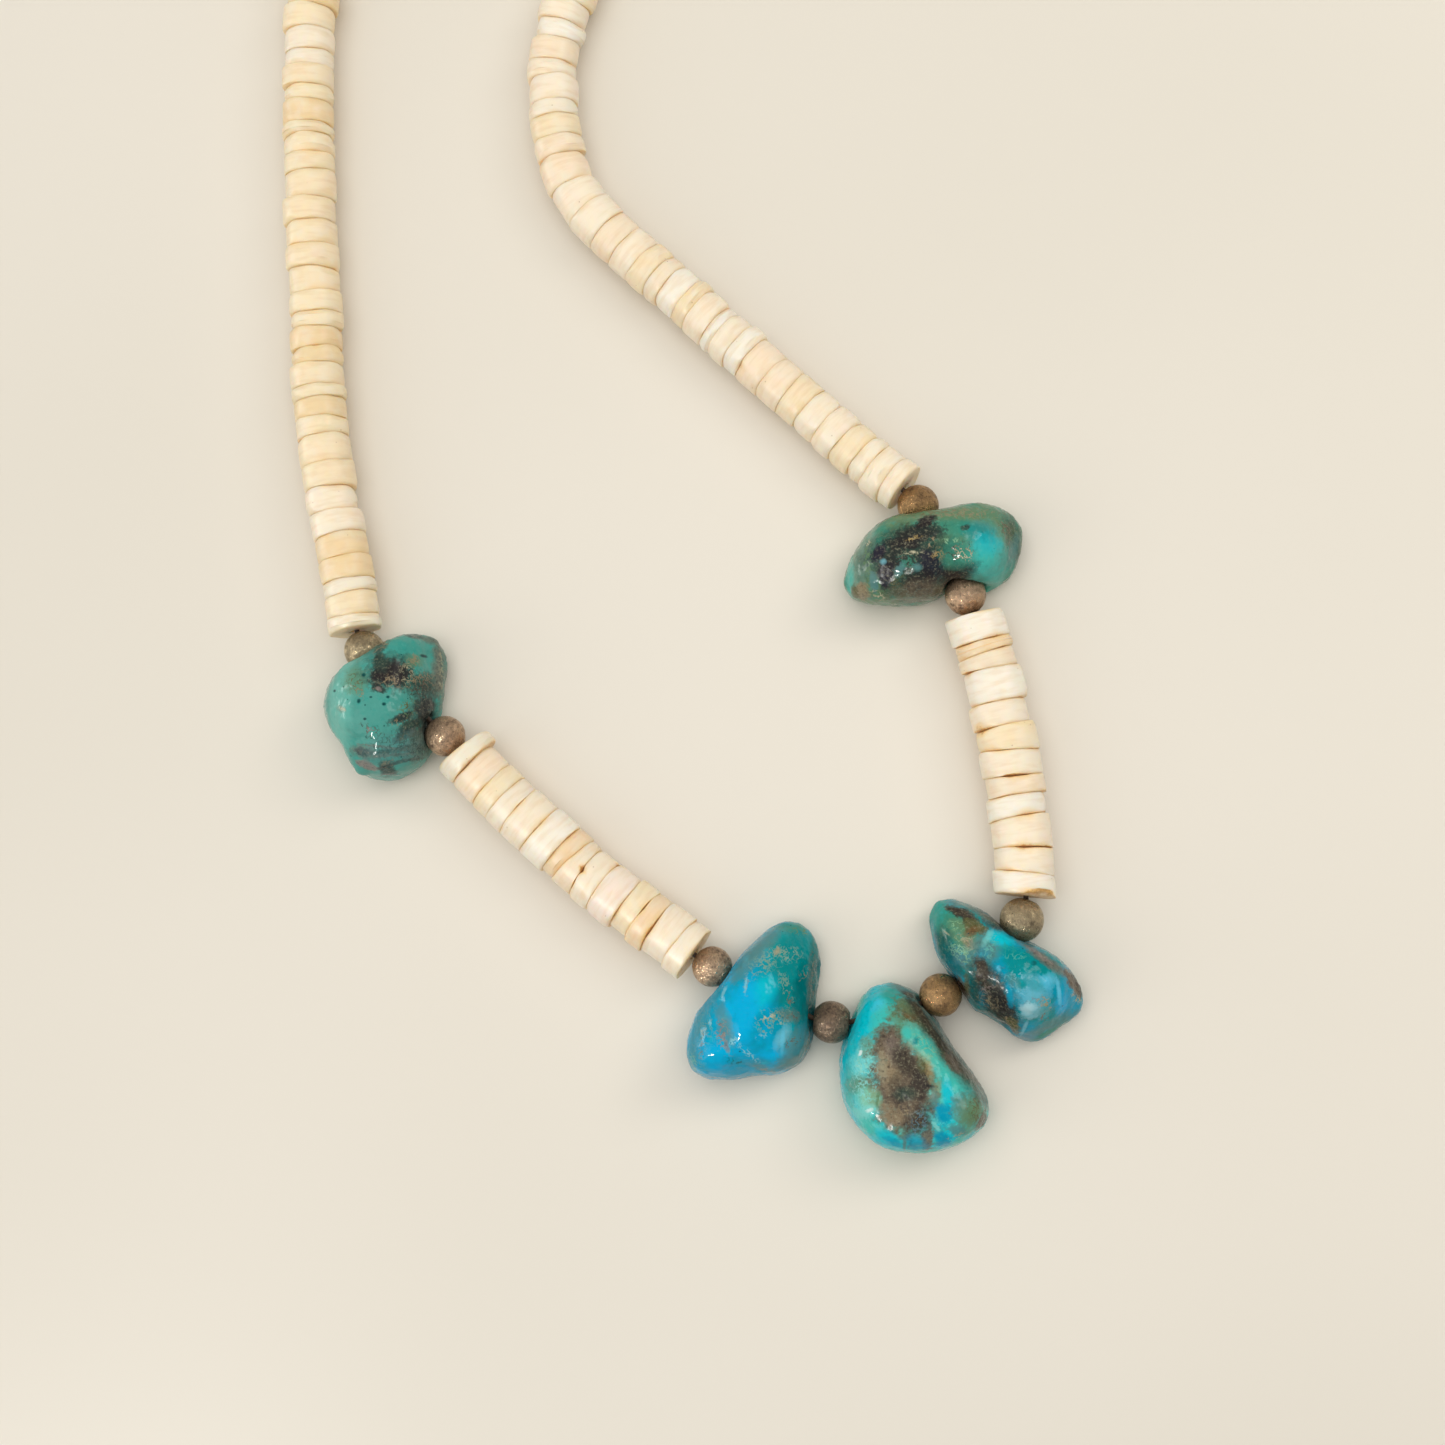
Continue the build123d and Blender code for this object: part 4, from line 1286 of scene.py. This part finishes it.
# %% Cast the silver beads
silver_bore = 0.9
silver_steps = 40
silver_around = 72
silver_dents = 0.045
dent_scale = 0.55
dent_middle = 0.8
silver_pits = 0.014
silver_pit_scale = 2.8
silver_pit_middle = 0.6
first_bead_seed = 20


def silver_bead(name, bead, seed):
    """Drilled silver bead with small dents."""
    profile = arc_profile(bead.radius, bead.half, silver_bore, silver_steps)
    mesh = turned_mesh(name + "_bead", profile, silver_around)
    places, normals = places_and_normals(mesh)
    rise = silver_dents * (rough_lump(places, dent_scale, seed) - dent_middle)
    rise += silver_pits * (rough_lump(places, silver_pit_scale, seed + 3) - silver_pit_middle)
    move_vertices(mesh, places + normals * rise[:, None])
    stand_at(mesh, bead)
    return mesh


for seed, (name, bead) in enumerate(silver_beads.items(), first_bead_seed):
    finish = SILVER_FINISH.get(name, warm_silver)
    add_piece(name + "_ball", silver_bead(name, bead, seed), finish, [name])
print("radius of the silver beads:", [round(bead.radius, 2) for bead in silver_beads.values()])

# %% [markdown]
# Shell discs
#
# Heishi is shell that was drilled, strung and ground round on a wet stone, all discs together. So the
# discs are round as a string but not one by one: their faces are sawn a little out of true, and each
# seam leans its own way. Here the seams come first, as slightly wavy planes between neighbours, and
# each disc is cut by the two it lies between.

# %% Lay out the seams
# A chip opens a seam at an angle round the string. Its angle and width are in degrees, its depth in
# millimetres.
Seam = namedtuple("Seam", "place normal waves chips")
Chip = namedtuple("Chip", "seam angle wide deep")

seam_gap = 0.006
seam_wave = 0.035
wave_counts = (2, 3, 5, 9)


def find_seams(discs, leans, chips, play, random_lean):
    """Planes between neighbours and at both ends. Leans are in degrees, seen from above."""
    seams = []
    for k in range(len(discs) + 1):
        before = discs[max(k - 1, 0)]
        after = discs[min(k, len(discs) - 1)]
        ends = []
        if k > 0:
            ends.append(before.center + before.axis * before.half)
        if k < len(discs):
            ends.append(after.center - after.axis * after.half)
        place = sum(ends, Vector()) / len(ends)
        normal = (before.axis + after.axis).normalized()
        lean = leans[k] if k < len(leans) else 0.0
        lean += play.uniform(-random_lean, random_lean)
        nod = play.uniform(-random_lean, random_lean)
        normal.rotate(Matrix.Rotation(math.radians(lean), 3, "Z"))
        level = normal.cross(Vector((0, 0, 1))).normalized()
        normal.rotate(Matrix.Rotation(math.radians(nod), 3, level))
        waves = [(count, play.uniform(0, 2 * math.pi), seam_wave / count) for count in wave_counts]
        seams.append(Seam(place, normal, waves, [chip for chip in chips if chip.seam == k]))
    return seams


def wave_at(seam, angle):
    """How far the worn seam wanders from its plane."""
    return sum(high * math.sin(count * angle + phase) for count, phase, high in seam.waves)


def gape_at(seam, angle):
    """How far the chips open a seam on each side."""
    gape = 0.0
    for chip in seam.chips:
        turn = (angle - math.radians(chip.angle) + math.pi) % (2 * math.pi) - math.pi
        gape += chip.deep * math.exp(-(turn / math.radians(chip.wide)) ** 2)
    return gape


# %% [markdown]
# Cutting a disc
#
# A disc is rings of corners from its bore out over one face, across the rim and back in over the other
# face. Near the rim its edges are worn round, more in some places than in others, and a chip opens
# them further. Each disc has also slipped a little sideways on the thread and is ground a little
# smaller, but it still rests on the table. Every corner keeps how stained it is and a place for the
# grain.

# %% Cut a disc between two seams
# The wear is how far a rim is worn in from its faces, drawn from a range in millimetres, and the depth
# how far it is worn in from its edge, as a share of that. The slip is in millimetres. Chips and lean say
# how often a seam is chipped and how many degrees it leans by chance.
Style = namedtuple("Style", "wear depth slip stain chips lean")

shell_bore = 0.8
bore_edge_wide = 0.06
bore_edge_deep = 0.05
flat_face = 0.6
rim_steps = 5
rim_shares = (0.35, 0.45, 0.55, 0.65)
split_depth = 0.1
slow_wear = 0.45
quick_wear = 0.35
disc_shrink = 0.06
rim_start = 0.7
rim_width = 0.25
rim_wobble = 0.004
ground_flats = 0.012
chip_bite = 0.4
most_taken = 0.33
most_stain = 1.4
chip_stain = 3
grain_room = 90


def unevenness(phases, angle):
    """How much more or less than usual a rim is worn at an angle."""
    slow = slow_wear * math.sin(2 * angle + phases[0])
    return 1 + slow + quick_wear * math.sin(5 * angle + phases[1])


def disc_profile(radius, wear, depth, split):
    """Rings of a disc as (radius, share of the way between the faces, inset from its face, stain)."""
    face = [(shell_bore, bore_edge_deep, 1.0), (shell_bore + bore_edge_wide, 0.0, 1.0),
            (radius * flat_face, 0.0, 1.0)]
    for step in range(rim_steps + 1):
        turn = math.radians(90 * step / rim_steps)
        stain = 1 - step / rim_steps
        face.append((radius - depth * (1 - math.sin(turn)), wear * (1 - math.cos(turn)), stain))
    low = [(reach, 0.0, inset, stain) for reach, inset, stain in face]
    side = [(radius, share, 0.0, 0.0) for share in rim_shares]
    if split:
        side.insert(len(side) // 2, (radius - split_depth, 0.5, 0.0, 1.0))
    high = [(reach, 1.0, inset, stain) for reach, inset, stain in reversed(face)]
    return low + side + high + [(shell_bore, 0.5, 0.0, 1.0)]


def cut_disc(disc, first, last, style, split, play, around):
    """Places, stains and local grain places of one disc between two seams."""
    side = Vector((0, 0, 1)).cross(disc.axis).normalized()
    over = disc.axis.cross(side)
    phases = [play.uniform(0, 2 * math.pi) for _ in range(4)]
    grown = disc.radius * (1 - play.uniform(0, disc_shrink))
    slip = side * play.uniform(-style.slip, style.slip) + over * (grown - disc.radius)
    low_phases = [play.uniform(0, 2 * math.pi) for _ in range(2)]
    high_phases = [play.uniform(0, 2 * math.pi) for _ in range(2)]
    grain_shift = Vector([play.uniform(0, grain_room) for _ in range(3)])
    places = []
    stains = []
    grains = []
    wear = play.uniform(*style.wear)
    for radius, share, inset, stain in disc_profile(grown, wear, wear * style.depth, split):
        rim = min(1.0, max(0.0, (radius / grown - rim_start) / rim_width))
        inward = {0.0: 1, 1.0: -1}.get(share, 0)
        seam, seam_phases = (first, low_phases) if share < 0.5 else (last, high_phases)
        for k in range(around):
            angle = 2 * math.pi * k / around
            wobble = sum(math.sin(n * angle + phases[n - 2]) / n for n in (2, 3, 5)) * rim_wobble
            flat = ground_flats * max(0.0, math.cos(4 * angle + phases[3])) ** 3
            worn = gape_at(seam, angle) * rim if inward else 0.0
            much = 1 + rim * (unevenness(seam_phases, angle) - 1)
            reach = (grown - (grown - radius) * much) * (1 + rim * (wobble - flat)) - chip_bite * worn
            x = reach * math.cos(angle)
            y = reach * math.sin(angle)
            start = disc.center + slip + side * x + over * y
            low = (first.place - start).dot(first.normal) / disc.axis.dot(first.normal)
            high = (last.place - start).dot(last.normal) / disc.axis.dot(last.normal)
            low += seam_gap / 2 + wave_at(first, angle) * rim
            high += wave_at(last, angle) * rim - seam_gap / 2
            height = low + (high - low) * share
            taken = min(inset * much + worn, most_taken * (high - low))
            height += taken * inward
            places.append(start + disc.axis * height)
            stains.append(style.stain * min(most_stain, stain + chip_stain * worn))
            grains.append(grain_shift + Vector((x, y, height)))
    return places, stains, grains


print("rings of a disc:", len(disc_profile(1.0, 0.1, 0.1, split=False)))

# %% Join the discs of a stretch into one mesh


def string_mesh(name, discs, seams, tones, style, play, around, split=False):
    """One mesh with all discs of a stretch, and what the material needs to know at every corner."""
    places = []
    faces = []
    stains = []
    grains = []
    colours = []
    for k, disc in enumerate(discs):
        made, stained, grained = cut_disc(disc, seams[k], seams[k + 1], style, split, play, around)
        faces += ring_faces(len(made) // around, around, len(places))
        places += made
        stains += stained
        grains += grained
        colours += [tones[k]] * len(made)
    mesh = bpy.data.meshes.new(name)
    mesh.from_pydata(places, [], faces)
    for label, kind, field, values in (("stain", "FLOAT", "value", stains),
                                       ("grain_place", "FLOAT_VECTOR", "vector", grains),
                                       ("tone", "FLOAT_COLOR", "color", colours)):
        mesh.attributes.new(label, kind, "POINT").data.foreach_set(field, np.array(values).ravel())
    return mesh


# %% [markdown]
# The shell itself
#
# Shell is chalky white with a warm glow, because light enters it and comes out a millimetre further
# on. Subsurface scattering does that. On top lie the disc's own tone, thin growth bands parallel to
# its faces, and ochre grime where it touches its neighbours. The tone, the grime and a place of its
# own for the grain come with the mesh, so one material serves every disc. Chalky clouds, crumbs of
# dirt and a few open pits break all of it up.

# %% Mix the shell material
SHELL_TONES = {
    "cream": paint(253, 235, 214), "white": paint(254, 242, 228), "pink": paint(253, 233, 219),
    "peach": paint(252, 229, 204), "yellow": paint(252, 230, 198), "tan": paint(247, 217, 182),
    "greenish": paint(241, 234, 216), "ivory": paint(249, 228, 196), "straw": paint(243, 217, 176)}
band_tone = paint(222, 188, 140)
chalk_tone = paint(247, 234, 216)
grime_tone = paint(248, 202, 124)
crumb_tone = paint(184, 134, 78)
pit_tone = paint(170, 126, 80)
band_share = 0.28
chalk_share = 0.4
pit_share = 0.5
glow_depth = 1.6


def shell_material():
    """Ground shell with growth bands, a glow and grime at the seams."""
    material, tree, shader = start_material("ground_shell")
    tone = add_node(tree, "Attribute", attribute_name="tone").outputs["Color"]
    stain = add_node(tree, "Attribute", attribute_name="stain").outputs["Fac"]
    place = add_node(tree, "Attribute", attribute_name="grain_place").outputs["Vector"]
    banded = on_vectors(tree, "MULTIPLY", place, (0.3, 0.3, 1.7))
    bands = ramp(tree, cloudy(tree, banded, scale=1.0, detail=3.0, roughness=0.5), 0.42, 0.72)
    colour = tint(tree, tone, bands, band_share, band_tone)
    clouds = ramp(tree, cloudy(tree, place, scale=0.5, detail=4.0), 0.45, 0.72)
    colour = tint(tree, colour, clouds, chalk_share, chalk_tone)
    patchy = ramp(tree, cloudy(tree, place, scale=0.8, detail=5.0, roughness=0.65), 0.36, 0.62)
    soaked = calculate(tree, "POWER", stain, 1.2)
    colour = tint(tree, colour, soaked, between(tree, patchy, 0.5, 1.0), grime_tone)
    dirt = times(tree, stain, cloudy(tree, place, scale=2.6, detail=4.0, roughness=0.7))
    crumbs = ramp(tree, dirt, 0.34, 0.56)
    colour = tint(tree, colour, crumbs, between(tree, patchy, 0.2, 0.8), crumb_tone)
    pits = use_group(tree, grit_group, Place=place, Grain=1.5, Speck_Share=0.06, Speck_Size=0.16)
    colour = tint(tree, colour, pits["Specks"], pit_share, pit_tone)
    tree.links.new(colour, shader.inputs["Base Color"])
    tree.links.new(between(tree, clouds, 0.36, 0.52), shader.inputs["Roughness"])
    shader.inputs["Subsurface Weight"].default_value = 0.55
    shader.inputs["Subsurface Radius"].default_value = (1.0, 0.68, 0.38)
    shader.inputs["Subsurface Scale"].default_value = glow_depth * MM
    ground = cloudy(tree, on_vectors(tree, "MULTIPLY", place, (1.0, 1.0, 9.0)), scale=1.0)
    add_bump(tree, shader, minus(tree, ground, pits["Specks"]), 0.03, 0.6)
    return material


shell = shell_material()
print("shell tones:", len(SHELL_TONES))

# %% [markdown]
# The two short rows
#
# The rows at the front are seen close up, so their seams and tones follow the photograph, disc by disc
# from the front nuggets outwards: how far each seam leans from square, and which discs are pink, tan
# or white. The larger chips are listed one by one, one disc is split along its rim and one is bigger
# than the rest, and a seeded draw adds small chips all round.

# %% String the rows
row_around = 72
row_style = Style(wear=(0.3, 0.6), depth=0.5, slip=0.24, stain=0.82, chips=0.4, lean=0.8)
SPLIT_DISC = ("right", 10)
BIG_DISC = ("left", 13)
big_disc_growth = 1.06
ROW_LEANS = {
    "left": (0, -3, 0, -1, 0, 2, 5, -6, -1, 0, 3, 1, 2, 2, -6),
    "right": (-9, -9, -3, 4, 1, -4, -5, 1, 0, -3, 2, -3, -2)}
ROW_TONES = {
    "left": "cream cream tan yellow pink cream peach tan white cream cream yellow peach greenish",
    "right": "white cream cream white peach cream yellow cream white peach tan white"}
ROW_CHIPS = {
    "left": (Chip(6, 95, 7, 0.22), Chip(6, 60, 16, 0.08), Chip(9, 95, 45, 0.03), Chip(4, 80, 30, 0.03),
             Chip(12, 70, 24, 0.03), Chip(2, 110, 25, 0.03)),
    "right": (Chip(0, 130, 36, 0.6), Chip(1, 60, 30, 0.03), Chip(2, 95, 20, 0.14),
              Chip(2, 140, 28, 0.08), Chip(3, 110, 25, 0.06), Chip(4, 60, 30, 0.04),
              Chip(5, 100, 22, 0.10), Chip(6, 70, 30, 0.04), Chip(7, 28, 18, 0.18),
              Chip(7, 60, 25, 0.05), Chip(8, 60, 30, 0.04), Chip(9, 35, 24, 0.10),
              Chip(11, 50, 30, 0.06))}
small_chip_wide = (8, 24)
small_chip_deep = (0.03, 0.12)


def few_chips(play, count, share):
    """Small chips at seeded places round the seams, two chances for each seam."""
    return [Chip(k, play.uniform(0, 360), play.uniform(*small_chip_wide), play.uniform(*small_chip_deep))
            for k in range(count + 1) for _ in (0, 1) if play.random() < share]


def node_at(names, place):
    """Name of the node whose box has its middle nearest to a place."""
    return min(names, key=lambda name: (sum(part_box(name), Vector()) / 2 / MM - place).length)


for side, discs in row_discs.items():
    play = random.Random(len(side))
    chips = list(ROW_CHIPS[side]) + few_chips(play, len(discs), row_style.chips)
    seams = find_seams(discs, ROW_LEANS[side], chips, play, row_style.lean)
    tones = [SHELL_TONES[word] for word in ROW_TONES[side].split()]
    for k, disc in enumerate(discs):
        node = node_at(row_nodes[side], disc.center)
        if (side, k) == BIG_DISC:
            lift = Vector((0, 0, disc.radius * (big_disc_growth - 1)))
            disc = disc._replace(radius=disc.radius * big_disc_growth, center=disc.center + lift)
        mesh = string_mesh(node, [disc], seams[k:k + 2], [tones[k]], row_style, play, row_around,
                           split=(side, k) == SPLIT_DISC)
        add_piece(node + "_heishi", mesh, shell, [node])
print("row discs made:", sum(len(discs) for discs in row_discs.values()))

# %% [markdown]
# The two long strands
#
# The strands are the same shell, a little smaller and more worn, with seams that lean by chance only.
# They are one piece each. Their tones are drawn by a seeded lot, straw and ivory on the left and
# cream, pink and white on the right, as the photograph has them. A word that stands twice is drawn
# more often.

# %% String the strands
strand_around = 48
strand_style = Style(wear=(0.5, 0.9), depth=0.4, slip=0.2, stain=0.5, chips=0.25, lean=3.0)
strand_seed = 10
STRAND_TONES = {"left": "cream ivory straw yellow ivory", "right": "cream cream white pink peach ivory"}

for side, discs in strand_discs.items():
    play = random.Random(strand_seed + len(side))
    chips = few_chips(play, len(discs), strand_style.chips)
    seams = find_seams(discs, (), chips, play, strand_style.lean)
    tones = [SHELL_TONES[play.choice(STRAND_TONES[side].split())] for _ in discs]
    mesh = string_mesh("shell_strand_" + side, discs, seams, tones, strand_style, play, strand_around)
    add_piece(f"shell_strand_{side}_heishi", mesh, shell, ["shell_strand_" + side])
    print("strand", side, "has", piece_triangles[f"shell_strand_{side}_heishi"], "triangles")

# %% [markdown]
# Clasp and thread
#
# The clasp is out of the photograph, so it stays a plain barrel, turned with rounded shoulders from
# the frame's own sizes and finished as the beads are. The thread shows only in the holes: the frame's
# own solid stays and gets a waxed, twisted look.

# %% Turn the clasp and wax the thread
# Corners of the clasp's profile in millimetres. The mouth's are out from the axis and down from the
# end, the shoulder's in from the rim and down from the end, the groove's in from the rim and up from the
# middle.
clasp_mouth = ((0.5, 2.0), (0.5, 0.2), (0.62, 0.0), (1.2, 0.0), (1.38, 0.12))
clasp_shoulder = ((0.3, 2.0), (0.06, 2.35), (0.0, 2.7))
clasp_groove = ((0.0, 0.25), (0.12, 0.12), (0.16, 0.0))
thread_tones = (paint(48, 37, 28), paint(78, 62, 46))


def clasp_mesh(clasp):
    """Barrel clasp with rounded shoulders and a joint line round its middle."""
    outside = [(out, clasp.half - down) for out, down in clasp_mouth]
    outside += [(clasp.radius - inward, clasp.half - down) for inward, down in clasp_shoulder]
    outside += [(clasp.radius - inward, up) for inward, up in clasp_groove]
    profile = outside + [(r, -z) for r, z in outside[-2::-1]]
    return turned_mesh("barrel_clasp_body", profile, silver_around)


def thread_material():
    """Brown waxed thread, with its twist as fine relief."""
    material, tree, shader = start_material("waxed_thread")
    place = in_millimetres(tree)
    clouds = cloudy(tree, place, scale=1.2, detail=3.0)
    tree.links.new(lay_over(tree, clouds, *thread_tones), shader.inputs["Base Color"])
    twist = add_node(tree, "TexWave", {"Vector": place, "Scale": 1.4, "Distortion": 1.0},
                     bands_direction="DIAGONAL").outputs["Fac"]
    tree.links.new(between(tree, twist, 0.5, 0.75), shader.inputs["Roughness"])
    add_bump(tree, shader, twist, 0.05, 0.7)
    return material


clasp = measure(*loose_shapes("barrel_clasp")[0], flat=False)
clasp_piece = clasp_mesh(clasp)
stand_at(clasp_piece, clasp)
add_piece("barrel_clasp_metal", clasp_piece, grey_silver, ["barrel_clasp"])
thread_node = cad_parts["thread"]
thread_node.data.materials.clear()
thread_node.data.materials.append(thread_material())
print("clasp is", round(2 * clasp.half, 1), "mm long")

# %% [markdown]
# Last look
#
# The pieces' triangles are counted.

# %% Count the triangles
print("triangles in all:", sum(piece_triangles.values()))
